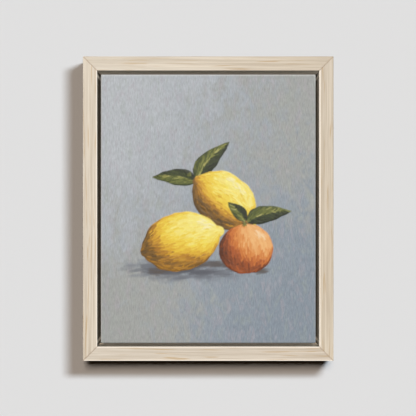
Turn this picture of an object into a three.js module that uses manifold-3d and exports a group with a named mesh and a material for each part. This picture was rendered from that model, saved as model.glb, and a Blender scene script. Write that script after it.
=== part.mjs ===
// A stretched canvas held in a light wood floater frame, for hanging on a wall.
// Millimetres. The front faces -Y, +X is to the right and +Z is up. The wall is the plane y = 0.
// The origin is the point of the wall behind the hanger's middle notch.

import * as THREE from "three";
import { mergeVertices } from "three/addons/utils/BufferGeometryUtils.js";
import Module from "manifold-3d";

const wasm = await Module();
wasm.setup();

// Canvas
const CANVAS_WIDTH = 203.2; // 8 in
const CANVAS_HEIGHT = 254; // 10 in
const CLOTH_THICKNESS = 0.8; // cotton duck with its ground and paint
const CLOTH_MARGIN = 26; // strip of cloth turned over the back of the bars
const FOLD_SHORT = 0.5; // a corner fold's end lies this much outside the strip's inner edge
const FOLD_OVERLAP = 0.2; // depth in which a fold and the strip are one
const CLOTH_EDGE_RADIUS = 1.8;
const CLOTH_CORNER_RADIUS = 2.4;
const CLOTH_INNER_EDGE_RADIUS = 0.7;
const CLOTH_INNER_CORNER_RADIUS = 0.8; // small enough to clear the bars' sharp corners
const CANVAS_DROP = 0.2; // the canvas is screwed in this much below the frame's middle

// Stretcher bars
const BAR_WIDTH = 38; // 1 1/2 in
const BAR_DEPTH = 19; // 3/4 in
const BAR_LIP = 5; // flat strip along the outer edge, which the cloth lies on
const BAR_SLOPE = 3; // fall of the bar's front from the lip to the inner edge
const BAR_EDGE_RADIUS = 1;
const SPLINE_SIDE = 22; // square plate across each mitre of the bars
const SPLINE_THICKNESS = 3;
const SPLINE_INSET = 8;

// Frame moulding, an L in section with the canvas in its corner
const FACE_WIDTH = 13.5;
const FRAME_DEPTH = 32; // 1 1/4 in
const FLOAT_GAP = 3.175; // 1/8 in round the canvas
const LEDGE_REACH = 12; // width of ledge under the canvas
const FRONT_RECESS = 2.2; // the cloth's front lies this far behind the frame's
const ARRIS_RADIUS = 1.2;
const WALL_GAP = 2; // the bumpers hold the frame this far off the wall
const HANG_DROP = 14; // from the frame's top edge down to the hanging point

// Fastenings
const SCREW_HEAD_RADIUS = 3.5;
const SCREW_HEAD_HEIGHT = 1.6;
const SCREW_SHANK_RADIUS = 1.6;
const SCREW_LENGTH = 18;
const SCREW_POINT = 3.5;
const SCREW_SHOULDER = 0.5; // the pan head's bevelled edge
const SCREW_RECESS = { length: 3.6, width: 0.8, depth: 0.9 }; // each arm of the cross in its head
const SCREW_SPREAD = 140; // between the two screws of one side
const SCREW_ROOM = 0.9; // the ledge's holes are this much wider, to centre the canvas
const STAPLE_CROWN = 10;
const STAPLE_LEG = 7;
const STAPLE_WIRE = 0.65; // thickness of the wire
const STAPLE_WIDTH = 1.2; // width of the wire
const STAPLE_INSET = 19; // from the canvas's edge to the crown
const STAPLES_ACROSS = 5;
const STAPLES_DOWN = 6;
const STAPLE_FREE_END = 34; // from the canvas's corner to the first staple's middle
const VEE_LEG = 6.5;
const VEE_THICKNESS = 0.6;
const VEE_DEPTH = 5;
const VEE_SINK = 0.2;
const VEE_INSETS = [7, 19]; // from the frame's outer corner, along both rails
const HANGER_LENGTH = 44;
const HANGER_HEIGHT = 7;
const HANGER_SHEET = 0.7;
const HANGER_RAISED = 24; // length of the raised middle with the notches
const HANGER_LIFT = 1;
const HANGER_RAMP = 2.5; // length of the bend at each end of the raised middle
const HANGER_NOTCHES = 9;
const NOTCH_PITCH = 2.2;
const NOTCH_DEPTH = 1.6;
const NOTCH_LAND = 0.15; // half the flat left between two notches
const BRAD_SPREAD = 36;
const BRAD_RADIUS = 0.75;
const BRAD_HEAD_RADIUS = 1.6;
const BRAD_HEAD_HEIGHT = 0.5;
const BRAD_LENGTH = 9;
const BRAD_POINT = 1.5;
const BUMPER_RADIUS = 5;
const BUMPER_BEVEL = 0.8;
const BUMPER_INSET_X = 28;
const BUMPER_INSET_Z = 9;

const CLEARANCE = 0.3; // between pieces that fit in or on each other
const CONTACT = 0.05; // under the heads, crowns and bumpers that lie on a face
const MITRE_GAP = 0.2;

// Depths, from the wall forward
const BACK = -WALL_GAP;
const FRONT = BACK - FRAME_DEPTH;
const CLOTH_FRONT = FRONT + FRONT_RECESS;
const BAR_FRONT = CLOTH_FRONT + CLOTH_THICKNESS + CLEARANCE;
const BAR_BACK = BAR_FRONT + BAR_DEPTH;
const CLOTH_BACK = BAR_BACK + CLEARANCE + CLOTH_THICKNESS;
const FOLD_BACK = CLOTH_BACK + CLOTH_THICKNESS;
const LEDGE_FRONT = FOLD_BACK + CLEARANCE;

// Sizes across
const FRAME_WIDTH = CANVAS_WIDTH + 2 * (FLOAT_GAP + FACE_WIDTH);
const FRAME_HEIGHT = CANVAS_HEIGHT + 2 * (FLOAT_GAP + FACE_WIDTH);
const FOOT_WIDTH = FACE_WIDTH + FLOAT_GAP + LEDGE_REACH;
const CLOTH_LAP = CLOTH_THICKNESS + CLEARANCE; // from the canvas's outside to the bars
const SCREW_INSET = LEDGE_REACH / 2; // from the canvas's edge
const SPLINE_DEPTH = (BAR_FRONT + BAR_SLOPE + BAR_BACK) / 2;
const BRAD_HEIGHT = HANGER_HEIGHT / 2 - NOTCH_DEPTH; // of the brads above the notches' tops

const SHELL_STEPS = 3; // straight steps in each rounded edge
const ROUND_SIDES = 20; // sides of screws, nails and bumpers

const lightWood = new THREE.MeshStandardMaterial({ color: 0xd9c9ae, roughness: 0.55 });
const barWood = new THREE.MeshStandardMaterial({ color: 0xd8bd92, roughness: 0.75 });
const splineWood = new THREE.MeshStandardMaterial({ color: 0xb98d5f, roughness: 0.8 });
const paintedCloth = new THREE.MeshStandardMaterial({ color: 0xa8adb0, roughness: 0.7 });
const zincSteel = new THREE.MeshStandardMaterial({ color: 0xb9bbbd, roughness: 0.35, metalness: 1 });
const brassedSteel = new THREE.MeshStandardMaterial({ color: 0xc2a468, roughness: 0.35, metalness: 1 });
const rubber = new THREE.MeshStandardMaterial({ color: 0x3a3a3c, roughness: 0.85 });

// A closed geometry as a solid that can be joined and cut.
function solidOf(geometry) {
  const bare = geometry.clone();
  bare.deleteAttribute("normal");
  bare.deleteAttribute("uv");
  const merged = mergeVertices(bare, 1e-4);
  return new wasm.Manifold(
    new wasm.Mesh({
      numProp: 3,
      vertProperties: new Float32Array(merged.attributes.position.array),
      triVerts: new Uint32Array(merged.index.array),
    }),
  );
}

function geometryOf(solid) {
  const made = solid.getMesh();
  const geometry = new THREE.BufferGeometry();
  geometry.setAttribute("position", new THREE.BufferAttribute(made.vertProperties, 3));
  geometry.setIndex(new THREE.BufferAttribute(made.triVerts, 1));
  geometry.computeVertexNormals();
  return geometry;
}

function cut(geometry, tools) {
  let solid = solidOf(geometry);
  for (const tool of tools) solid = solid.subtract(solidOf(tool));
  return geometryOf(solid);
}

function join(geometry, others) {
  let solid = solidOf(geometry);
  for (const other of others) solid = solid.add(solidOf(other));
  return geometryOf(solid);
}

function box(width, depth, height, x, y, z) {
  return new THREE.BoxGeometry(width, depth, height).translate(x, y, z);
}

// A turned piece about the Y axis, from [radius, y] pairs that start and end on the axis.
function turned(profile) {
  return new THREE.LatheGeometry(
    profile.map(([radius, y]) => new THREE.Vector2(radius, y)),
    ROUND_SIDES,
  );
}

// A block with its edges rounded by edge and its four upright corners by corner, a little more.
function roundedBlock(width, height, front, back, edge, corner) {
  const right = width / 2 - corner;
  const top = height / 2 - corner;
  const outline = new THREE.Shape();
  outline.absarc(right, -top, corner, -Math.PI / 2, 0);
  outline.absarc(right, top, corner, 0, Math.PI / 2);
  outline.absarc(-right, top, corner, Math.PI / 2, Math.PI);
  outline.absarc(-right, -top, corner, Math.PI, 1.5 * Math.PI);
  const block = new THREE.ExtrudeGeometry(outline, {
    depth: back - front - 2 * edge,
    curveSegments: SHELL_STEPS,
    bevelSize: edge,
    bevelOffset: -edge,
    bevelThickness: edge,
    bevelSegments: SHELL_STEPS,
  });
  return block.rotateX(Math.PI / 2).translate(0, back - edge, 0);
}

// A mitred length of a section whose x runs in from the outer face and whose y is the depth.
// It lies along x with its outer face at z = reach, and both ends are cut back at 45 degrees.
function mitred(section, length, reach) {
  const geometry = new THREE.ExtrudeGeometry(section, {
    depth: length,
    bevelEnabled: false,
    curveSegments: SHELL_STEPS,
  });
  const position = geometry.attributes.position;
  const backOff = (MITRE_GAP / 2) * Math.SQRT2;
  for (let i = 0; i < position.count; i++) {
    const inward = position.getX(i) + backOff;
    const along = position.getZ(i);
    position.setZ(i, along < length / 2 ? along + inward : along - inward);
  }
  return geometry.rotateY(Math.PI / 2).translate(-length / 2, 0, reach);
}

// The frame moulding: the face with its two eased edges, and the ledge behind the canvas.
function mouldingSection() {
  const r = ARRIS_RADIUS;
  const section = new THREE.Shape();
  section.moveTo(0, BACK);
  section.lineTo(0, FRONT + r);
  section.absarc(r, FRONT + r, r, Math.PI, 1.5 * Math.PI);
  section.absarc(FACE_WIDTH - r, FRONT + r, r, 1.5 * Math.PI, 2 * Math.PI);
  section.lineTo(FACE_WIDTH, LEDGE_FRONT);
  section.lineTo(FOOT_WIDTH, LEDGE_FRONT);
  section.lineTo(FOOT_WIDTH, BACK);
  return section;
}

// The stretcher bar: a flat lip at the outer edge, and a front that falls away from the cloth.
function barSection() {
  const r = BAR_EDGE_RADIUS;
  const section = new THREE.Shape();
  section.moveTo(r, BAR_BACK);
  section.absarc(r, BAR_BACK - r, r, Math.PI / 2, Math.PI);
  section.absarc(r, BAR_FRONT + r, r, Math.PI, 1.5 * Math.PI);
  section.lineTo(BAR_LIP, BAR_FRONT);
  section.lineTo(BAR_WIDTH, BAR_FRONT + BAR_SLOPE);
  section.lineTo(BAR_WIDTH, BAR_BACK);
  return section;
}

// A flat outline across x and z, given as [x, z] pairs, made into a plate from y = back forward.
function plate(points, back, thickness) {
  const outline = new THREE.Shape(points.map(([x, z]) => new THREE.Vector2(x, z)));
  const geometry = new THREE.ExtrudeGeometry(outline, { depth: thickness, bevelEnabled: false });
  return geometry.rotateX(Math.PI / 2).translate(0, back, 0);
}

// A vee nail driven in from the back, or with room the slot for it, at one end of a rail.
// Its bend is at x = z = 0 and its two legs run along the rails, away from the frame's corner.
function vee(end, room) {
  const half = VEE_THICKNESS / 2 + room;
  const tip = VEE_LEG + room;
  const outline = [
    [end * half, half],
    [-end * tip, half],
    [-end * tip, -half],
    [-end * half, -half],
    [-end * half, -tip],
    [end * half, -tip],
  ];
  const back = room > 0 ? BACK + room : BACK - VEE_SINK;
  const point = BACK - VEE_SINK - VEE_DEPTH - room;
  return plate(outline, back, back - point);
}

function screw() {
  const shankEnd = BACK - SCREW_LENGTH;
  const seat = BACK + CONTACT;
  const headTop = seat + SCREW_HEAD_HEIGHT;
  const body = turned([
    [0, shankEnd],
    [SCREW_SHANK_RADIUS, shankEnd + SCREW_POINT],
    [SCREW_SHANK_RADIUS, seat],
    [SCREW_HEAD_RADIUS, seat],
    [SCREW_HEAD_RADIUS, headTop - SCREW_SHOULDER],
    [SCREW_HEAD_RADIUS - SCREW_SHOULDER, headTop],
    [0, headTop],
  ]);
  const { length, width, depth } = SCREW_RECESS;
  return cut(body, [
    box(length, 2 * depth, width, 0, headTop, 0),
    box(width, 2 * depth, length, 0, headTop, 0),
  ]);
}

function screwHole(radius) {
  const hole = new THREE.CylinderGeometry(radius, radius, FRAME_DEPTH, ROUND_SIDES);
  return hole.translate(0, BACK + CLEARANCE - FRAME_DEPTH / 2, 0);
}

// The pilot hole in the bars is as deep as the screw goes.
function pilotHole() {
  const radius = SCREW_SHANK_RADIUS + CLEARANCE;
  const depth = SCREW_LENGTH + CLEARANCE;
  const hole = new THREE.CylinderGeometry(radius, radius, depth, ROUND_SIDES);
  return hole.translate(0, BACK - depth / 2, 0);
}

// A staple with its crown along x, lying on the back of the cloth.
function staple() {
  const outer = STAPLE_CROWN / 2;
  const inner = outer - STAPLE_WIRE;
  const top = CLOTH_BACK + CONTACT + STAPLE_WIRE;
  const outline = new THREE.Shape();
  outline.moveTo(-outer, top);
  outline.lineTo(-outer, top - STAPLE_LEG);
  outline.lineTo(-inner, top - STAPLE_LEG);
  outline.lineTo(-inner, top - STAPLE_WIRE);
  outline.lineTo(inner, top - STAPLE_WIRE);
  outline.lineTo(inner, top - STAPLE_LEG);
  outline.lineTo(outer, top - STAPLE_LEG);
  outline.lineTo(outer, top);
  const geometry = new THREE.ExtrudeGeometry(outline, {
    depth: STAPLE_WIDTH,
    bevelEnabled: false,
  });
  return geometry.translate(0, 0, -STAPLE_WIDTH / 2);
}

// The two pits that a staple's legs go into.
function staplePits() {
  const width = STAPLE_WIRE + 2 * CLEARANCE;
  const height = STAPLE_WIDTH + 2 * CLEARANCE;
  const depth = STAPLE_LEG + CLEARANCE;
  const middle = (STAPLE_CROWN - STAPLE_WIRE) / 2;
  const y = CLOTH_BACK + CONTACT - depth / 2;
  return [-middle, middle].map((x) => box(width, depth, height, x, y, 0));
}

// Evenly spaced places along one side of the canvas.
function staplePlaces(length, count) {
  const run = length - 2 * STAPLE_FREE_END;
  return Array.from({ length: count }, (_, i) => -run / 2 + (run * i) / (count - 1));
}

// The four sides: each is worked on as if it were the top one, with x along it and z outwards.
// frame and canvas hold the size along the side, then the size across to the opposite one.
const SIDES = ["top", "right", "bottom", "left"].map((name, turn) => {
  const upright = turn % 2 === 1;
  const frame = [FRAME_WIDTH, FRAME_HEIGHT];
  const canvas = [CANVAS_WIDTH, CANVAS_HEIGHT];
  if (upright) {
    frame.reverse();
    canvas.reverse();
  }
  return { name, turn, upright, frame, canvas };
});

function screwPlaces(side) {
  return side.upright ? [-SCREW_SPREAD / 2, SCREW_SPREAD / 2] : [];
}

function staplesOf(side) {
  return staplePlaces(side.canvas[0], side.upright ? STAPLES_DOWN : STAPLES_ACROSS);
}

function turnedTo(geometry, side) {
  return geometry.rotateY((side.turn * Math.PI) / 2);
}

function mesh(name, geometry, material) {
  const made = new THREE.Mesh(geometry, material);
  made.name = name;
  return made;
}

function sideGroup(side) {
  const group = new THREE.Group();
  group.rotation.y = (side.turn * Math.PI) / 2;
  return group;
}

// The hanger: a strip with flat ends and a raised middle, notched along its lower edge.
// Its notches stand on z = 0, so that the wall nail's top sits at the origin.
function hanger() {
  const end = HANGER_LENGTH / 2;
  const raised = HANGER_RAISED / 2;
  const foot = raised + HANGER_RAMP;
  const strip = new THREE.Shape();
  strip.moveTo(-end, 0);
  strip.lineTo(-foot, 0);
  strip.lineTo(-raised, HANGER_LIFT);
  strip.lineTo(raised, HANGER_LIFT);
  strip.lineTo(foot, 0);
  strip.lineTo(end, 0);
  strip.lineTo(end, HANGER_SHEET);
  strip.lineTo(foot, HANGER_SHEET);
  strip.lineTo(raised, HANGER_LIFT + HANGER_SHEET);
  strip.lineTo(-raised, HANGER_LIFT + HANGER_SHEET);
  strip.lineTo(-foot, HANGER_SHEET);
  strip.lineTo(-end, HANGER_SHEET);
  const body = new THREE.ExtrudeGeometry(strip, { depth: HANGER_HEIGHT, bevelEnabled: false });
  body.translate(0, BACK + CONTACT, -NOTCH_DEPTH);
  const notches = Array.from({ length: HANGER_NOTCHES }, (_, i) => {
    const x = (i - (HANGER_NOTCHES - 1) / 2) * NOTCH_PITCH;
    const half = NOTCH_PITCH / 2 - NOTCH_LAND;
    const below = -2 * NOTCH_DEPTH;
    const outline = [
      [x - half, below],
      [x + half, below],
      [x + half, -NOTCH_DEPTH],
      [x, 0],
      [x - half, -NOTCH_DEPTH],
    ];
    return plate(outline, 0, 2 * WALL_GAP);
  });
  const holes = [-1, 1].map((side) => bradHole((side * BRAD_SPREAD) / 2, BRAD_HEIGHT, WALL_GAP));
  return cut(body, [...notches, ...holes]);
}

function brad() {
  const seat = BACK + 2 * CONTACT + HANGER_SHEET;
  const tip = seat - BRAD_LENGTH;
  return turned([
    [0, tip],
    [BRAD_RADIUS, tip + BRAD_POINT],
    [BRAD_RADIUS, seat],
    [BRAD_HEAD_RADIUS, seat],
    [BRAD_HEAD_RADIUS, seat + BRAD_HEAD_HEIGHT],
    [0, seat + BRAD_HEAD_HEIGHT],
  ]);
}

// A hole for a brad, through the strip or deep enough for it in the rail.
function bradHole(x, z, depth) {
  const radius = BRAD_RADIUS + CLEARANCE;
  return new THREE.CylinderGeometry(radius, radius, 2 * depth, ROUND_SIDES).translate(x, BACK, z);
}

function bumper() {
  return turned([
    [0, BACK + CONTACT],
    [BUMPER_RADIUS, BACK + CONTACT],
    [BUMPER_RADIUS, -BUMPER_BEVEL],
    [BUMPER_RADIUS - BUMPER_BEVEL, 0],
    [0, 0],
  ]);
}

// A frame rail, with the slots of its vee nails and the holes that pass its screws.
function rail(side) {
  const [length, across] = side.frame;
  const reach = across / 2;
  const slots = VEE_INSETS.flatMap((inset) =>
    [-1, 1].map((end) => vee(end, CLEARANCE).translate(end * (length / 2 - inset), 0, reach - inset)),
  );
  const screwReach = reach - FACE_WIDTH - FLOAT_GAP - SCREW_INSET;
  const holes = screwPlaces(side).map((x) =>
    screwHole(SCREW_SHANK_RADIUS + SCREW_ROOM).translate(x, 0, screwReach),
  );
  const brads =
    side.name === "top"
      ? [-1, 1].map((end) =>
          bradHole((end * BRAD_SPREAD) / 2, reach - HANG_DROP + BRAD_HEIGHT, BRAD_LENGTH),
        )
      : [];
  return cut(mitred(mouldingSection(), length, reach), [...slots, ...holes, ...brads]);
}

// A stretcher bar, with the pits of its staples, the pilot holes of its screws and the spline slots.
function bar(side) {
  const [length, across] = side.canvas.map((size) => size - 2 * CLOTH_LAP);
  const reach = across / 2;
  const pits = staplesOf(side).flatMap((x) =>
    staplePits().map((pit) => pit.translate(x, 0, side.canvas[1] / 2 - STAPLE_INSET)),
  );
  const pilots = screwPlaces(side).map((x) => pilotHole().translate(x, 0, side.canvas[1] / 2 - SCREW_INSET));
  const slotSide = SPLINE_SIDE + 2 * CLEARANCE;
  const middle = SPLINE_INSET + SPLINE_SIDE / 2;
  const slots = [-1, 1].map((end) =>
    box(
      slotSide,
      SPLINE_THICKNESS + 2 * CLEARANCE,
      slotSide,
      end * (length / 2 - middle),
      SPLINE_DEPTH,
      reach - middle,
    ),
  );
  return cut(mitred(barSection(), length, reach), [...pits, ...pilots, ...slots]);
}

// The cloth: drawn over the bars, turned in behind them, and folded at its four back corners.
function cloth() {
  const outside = roundedBlock(
    CANVAS_WIDTH,
    CANVAS_HEIGHT,
    CLOTH_FRONT,
    CLOTH_BACK,
    CLOTH_EDGE_RADIUS,
    CLOTH_CORNER_RADIUS,
  );
  const inside = roundedBlock(
    CANVAS_WIDTH - 2 * CLOTH_THICKNESS,
    CANVAS_HEIGHT - 2 * CLOTH_THICKNESS,
    CLOTH_FRONT + CLOTH_THICKNESS,
    CLOTH_BACK - CLOTH_THICKNESS,
    CLOTH_INNER_EDGE_RADIUS,
    CLOTH_INNER_CORNER_RADIUS,
  );
  const windowWidth = CANVAS_WIDTH - 2 * CLOTH_MARGIN;
  const windowHeight = CANVAS_HEIGHT - 2 * CLOTH_MARGIN;
  const window = box(windowWidth, 4 * CLOTH_THICKNESS, windowHeight, 0, CLOTH_BACK, 0);
  const folded = join(outside, cornerFolds());
  const pits = SIDES.flatMap((side) =>
    staplesOf(side).flatMap((x) =>
      staplePits().map((pit) => turnedTo(pit.translate(x, 0, side.canvas[1] / 2 - STAPLE_INSET), side)),
    ),
  );
  const holes = SIDES.flatMap((side) =>
    screwPlaces(side).map((x) =>
      turnedTo(pilotHole().translate(x, 0, side.canvas[1] / 2 - SCREW_INSET), side),
    ),
  );
  return cut(folded, [inside, window, ...pits, ...holes]);
}

// At each back corner the spare cloth lies as a second, three-cornered layer on the turned-in strip.
function cornerFolds() {
  const right = CANVAS_WIDTH / 2 - CLOTH_EDGE_RADIUS;
  const top = CANVAS_HEIGHT / 2 - CLOTH_EDGE_RADIUS;
  const leg = CLOTH_MARGIN - CLOTH_EDGE_RADIUS - FOLD_SHORT;
  const corners = [
    [-1, -1],
    [-1, 1],
    [1, -1],
    [1, 1],
  ];
  return corners.map(([x, z]) => {
    const outline = [
      [x * right, z * top],
      [x * (right - leg), z * top],
      [x * (right - leg), z * (top - leg)],
    ];
    return plate(outline, FOLD_BACK, CLOTH_THICKNESS + FOLD_OVERLAP);
  });
}

function buildFrame() {
  const frame = new THREE.Group();
  for (const side of SIDES) {
    const group = sideGroup(side);
    const [length, across] = side.frame;
    group.add(mesh(`frame_rail_${side.name}`, rail(side), lightWood));
    VEE_INSETS.forEach((inset, i) => {
      const nail = mesh(`vee_nail_${side.name}_${i + 1}`, vee(1, 0), zincSteel);
      nail.position.set(length / 2 - inset, 0, across / 2 - inset);
      group.add(nail);
    });
    frame.add(group);
  }
  for (const end of [-1, 1]) {
    const pad = mesh(end < 0 ? "bumper_left" : "bumper_right", bumper(), rubber);
    pad.position.set(
      end * (FRAME_WIDTH / 2 - BUMPER_INSET_X),
      0,
      -FRAME_HEIGHT / 2 + BUMPER_INSET_Z,
    );
    frame.add(pad);
  }
  return frame;
}

function buildCanvas() {
  const canvas = new THREE.Group();
  canvas.add(mesh("canvas_cloth", cloth(), paintedCloth));
  for (const side of SIDES) {
    const group = sideGroup(side);
    const [length, across] = side.canvas;
    group.add(mesh(`stretcher_bar_${side.name}`, bar(side), barWood));
    const splineMiddle = CLOTH_LAP + SPLINE_INSET + SPLINE_SIDE / 2;
    const square = new THREE.BoxGeometry(SPLINE_SIDE, SPLINE_THICKNESS, SPLINE_SIDE);
    const spline = mesh(`corner_spline_${side.name}`, square, splineWood);
    spline.position.set(length / 2 - splineMiddle, SPLINE_DEPTH, across / 2 - splineMiddle);
    group.add(spline);
    staplesOf(side).forEach((x, i) => {
      const piece = mesh(`staple_${side.name}_${i + 1}`, staple(), zincSteel);
      piece.position.set(x, 0, across / 2 - STAPLE_INSET);
      group.add(piece);
    });
    screwPlaces(side).forEach((x, i) => {
      const piece = mesh(`screw_${side.name}_${i + 1}`, screw(), zincSteel);
      piece.position.set(x, 0, across / 2 - SCREW_INSET);
      group.add(piece);
    });
    canvas.add(group);
  }
  return canvas;
}

function buildHanger() {
  const group = new THREE.Group();
  group.add(mesh("sawtooth_hanger", hanger(), brassedSteel));
  for (const end of [-1, 1]) {
    const pin = mesh(end < 0 ? "hanger_brad_left" : "hanger_brad_right", brad(), brassedSteel);
    pin.position.set((end * BRAD_SPREAD) / 2, 0, BRAD_HEIGHT);
    group.add(pin);
  }
  return group;
}

const group = new THREE.Group();
const frame = buildFrame();
const canvas = buildCanvas();
frame.position.z = HANG_DROP - FRAME_HEIGHT / 2;
canvas.position.z = frame.position.z - CANVAS_DROP;
group.add(frame, canvas, buildHanger());

export default group;
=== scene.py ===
import math

import bmesh
import bpy
import numpy as np
from mathutils import Matrix, Vector


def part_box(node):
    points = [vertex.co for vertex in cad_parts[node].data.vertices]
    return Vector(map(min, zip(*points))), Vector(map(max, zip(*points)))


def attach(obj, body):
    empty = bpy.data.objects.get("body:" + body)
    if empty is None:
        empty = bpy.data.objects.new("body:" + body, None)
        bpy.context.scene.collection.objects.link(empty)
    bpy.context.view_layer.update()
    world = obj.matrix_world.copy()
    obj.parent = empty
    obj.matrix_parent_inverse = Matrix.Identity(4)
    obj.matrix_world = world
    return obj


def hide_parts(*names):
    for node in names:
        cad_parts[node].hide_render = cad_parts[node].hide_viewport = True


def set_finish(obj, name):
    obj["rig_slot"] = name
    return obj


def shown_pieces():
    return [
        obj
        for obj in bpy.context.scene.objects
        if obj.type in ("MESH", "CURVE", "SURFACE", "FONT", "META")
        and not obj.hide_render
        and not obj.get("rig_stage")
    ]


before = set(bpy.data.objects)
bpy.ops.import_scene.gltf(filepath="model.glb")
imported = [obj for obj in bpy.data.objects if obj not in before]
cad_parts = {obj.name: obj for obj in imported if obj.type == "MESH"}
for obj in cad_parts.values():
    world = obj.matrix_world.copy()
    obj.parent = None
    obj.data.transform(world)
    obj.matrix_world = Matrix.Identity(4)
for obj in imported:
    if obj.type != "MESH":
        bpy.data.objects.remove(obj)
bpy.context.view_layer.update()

# A painted canvas in a light wood floater frame, hung on a pale wall. Metres, in the frame's own axes:
# the front faces -Y, +Z is up, and the wall is the plane y = 0.

MM = 0.001

# Sizes of the moulding and the cloth that the nodes' boxes don't give
FACE_WIDTH = 13.5 * MM
LEDGE_THICKNESS = 7.5 * MM
ARRIS_RADIUS = 0.7 * MM
MITRE_GAP = 0.03 * MM
NAIL_ROOM = 0.08 * MM
CLOTH_THICKNESS = 0.8 * MM
CLOTH_MARGIN = 26 * MM
CLOTH_EDGE_RADIUS = 1.1 * MM
CLOTH_CORNER_RADIUS = 1.3 * MM
CLOTH_INNER_RADIUS = 0.7 * MM
CLOTH_BACK_RADIUS = 1.2 * MM

# How wide sharp edges are rounded off
BACK_EASE = 0.4 * MM
MITRE_EASE = 0.12 * MM
NAIL_EASE = 0.08 * MM
BAR_EASE = 0.5 * MM
STAPLE_EASE = 0.22 * MM
HANGER_EASE = 0.12 * MM
FOLD_EASE = 0.2 * MM

# Points this near are one point, and faces this near lie in one plane.
SAME_POINT = 0.001 * MM
SAME_PLANE = 0.01 * MM

# The sides, clockwise from the front: a side's place here is how many quarter turns it is from the top
SIDES = ["top", "right", "bottom", "left"]

# How far on in the grain each next rail is cut, and each next stretcher bar, along it and across it
RAIL_SHIFT = 0.41
BAR_SHIFT = (0.57, 0.083)

# How pale each rail's inner and outer arris is: partly sanded wood and partly a painted highlight, stronger
# on the edges that face the light
ARRIS_SANDING_AND_HIGHLIGHT = {"top": (0.15, 0.0), "right": (1.0, 0.0), "bottom": (0.45, 0.95), "left": (0.55, 0.15)}

# How pale each rail's rebate is, near the front, deep in it and by the mitres: thin paint over pale wood, and
# painted light in the gap
THIN_PAINT_AND_GAP_LIGHT = {
    "top": (0.48, 1.0, 0.0),
    "right": (0.55, 0.0, 0.8),
    "bottom": (0.15, 1.0, 0.0),
    "left": (0.0, 0.0, 0.6),
}

# What each rail's colour is multiplied by at its two ends, clockwise: painted light and shade, lighter
# towards the left and darker towards the top right
RAIL_LIGHT_TINTS = {
    "top": ((1.07, 1.12, 1.15), (0.785, 0.745, 0.655)),
    "right": ((0.82, 0.795, 0.73), (1.0, 0.996, 0.955)),
    "bottom": ((0.98, 0.98, 0.97), (1.12, 1.165, 1.21)),
    "left": ((1.02, 1.03, 1.02), (1.065, 1.095, 1.1)),
}

# Where everything lies, from the nodes' boxes
canvas_low, canvas_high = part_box("canvas_cloth")
FRAME_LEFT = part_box("frame_rail_left")[0].x
FRAME_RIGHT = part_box("frame_rail_right")[1].x
FRAME_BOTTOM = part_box("frame_rail_bottom")[0].z
FRAME_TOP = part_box("frame_rail_top")[1].z
FRAME_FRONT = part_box("frame_rail_top")[0].y
FRAME_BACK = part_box("frame_rail_top")[1].y
FOOT_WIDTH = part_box("frame_rail_left")[1].x - FRAME_LEFT
FRAME_MIDDLE = Vector(((FRAME_LEFT + FRAME_RIGHT) / 2, 0, (FRAME_BOTTOM + FRAME_TOP) / 2))
CANVAS_MIDDLE = (canvas_low + canvas_high) / 2
CANVAS_HALF = (canvas_high.x - CANVAS_MIDDLE.x, canvas_high.z - CANVAS_MIDDLE.z)
CLOTH_FRONT = canvas_low.y
CLOTH_BACK = canvas_high.y - CLOTH_THICKNESS

# The photo's side and its frame's middle, in pixels, and how much it shows across at the frame's front
PHOTO_SIDE = 416
FRAME_MIDDLE_PX = (208.2, 208.6)
VIEW_WIDTH = 392.4 * MM
LENS = 100
SENSOR = 36


# Colours and node trees

def shade(red, green, blue):
    """A colour as it is seen, from 0 to 255, as the share of light that it sends back."""
    seen = np.array([red, green, blue]) / 255
    return np.where(seen <= 0.04045, seen / 12.92, ((seen + 0.055) / 1.055) ** 2.4)


def tint(red, green, blue):
    """The same for a shader's socket."""
    return (*(float(part) for part in shade(red, green, blue)), 1.0)


class Shader:
    """A node tree that is written as nested calls."""

    def __init__(self, tree):
        self.tree = tree

    def node(self, kind, inputs, out=0, **settings):
        made = self.tree.nodes.new(kind)
        for name, value in settings.items():
            setattr(made, name, value)
        for key, value in inputs.items():
            self.set(made.inputs[key], value)
        return made.outputs[out]

    def set(self, socket, value):
        if isinstance(value, bpy.types.NodeSocket):
            self.tree.links.new(value, socket)
        else:
            socket.default_value = value

    def attribute(self, name, out="Vector"):
        return self.node("ShaderNodeAttribute", {}, out, attribute_name=name)

    def math(self, operation, first, second=0.0, third=0.0):
        return self.node("ShaderNodeMath", {0: first, 1: second, 2: third}, operation=operation)

    def plus(self, first, second):
        return self.math("ADD", first, second)

    def minus(self, first, second):
        return self.math("SUBTRACT", first, second)

    def times(self, first, second):
        return self.math("MULTIPLY", first, second)

    def line(self, value, slope, start):
        """The value times slope, plus start."""
        return self.math("MULTIPLY_ADD", value, slope, start)

    def mix(self, share, first, second, blend="MIX"):
        sockets = {0: share, 6: first, 7: second}
        return self.node("ShaderNodeMix", sockets, 2, data_type="RGBA", blend_type=blend)

    def mix_values(self, share, first, second):
        return self.node("ShaderNodeMix", {0: share, 2: first, 3: second}, data_type="FLOAT")

    def noise(self, place, size, detail=2.0, roughness=0.5, distortion=0.0, shift=(0.0, 0.0, 0.0), out=0):
        """Clouds that are about size long along each axis."""
        scale = tuple(1 / part for part in size)
        stretched = self.node("ShaderNodeMapping", {"Vector": place, "Scale": scale, "Location": shift})
        sockets = {
            "Vector": stretched, "Scale": 1.0, "Detail": detail,
            "Roughness": roughness, "Distortion": distortion,
        }
        return self.node("ShaderNodeTexNoise", sockets, out)

    def between(self, value, low, high, start=0.0, end=1.0):
        """A soft step from start to end as value goes from low to high."""
        sockets = {"Value": value, "From Min": low, "From Max": high, "To Min": start, "To Max": end}
        return self.node("ShaderNodeMapRange", sockets, interpolation_type="SMOOTHSTEP")

    def parts(self, vector):
        return self.node("ShaderNodeSeparateXYZ", {0: vector}).node.outputs

    def bump(self, height, distance):
        return self.node("ShaderNodeBump", {"Height": height, "Distance": distance, "Strength": 1.0})

    def effect(self, tree, inputs):
        """A shared group, placed with its own values. Gives its outputs."""
        return self.node("ShaderNodeGroup", inputs, node_tree=tree).node.outputs


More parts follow.
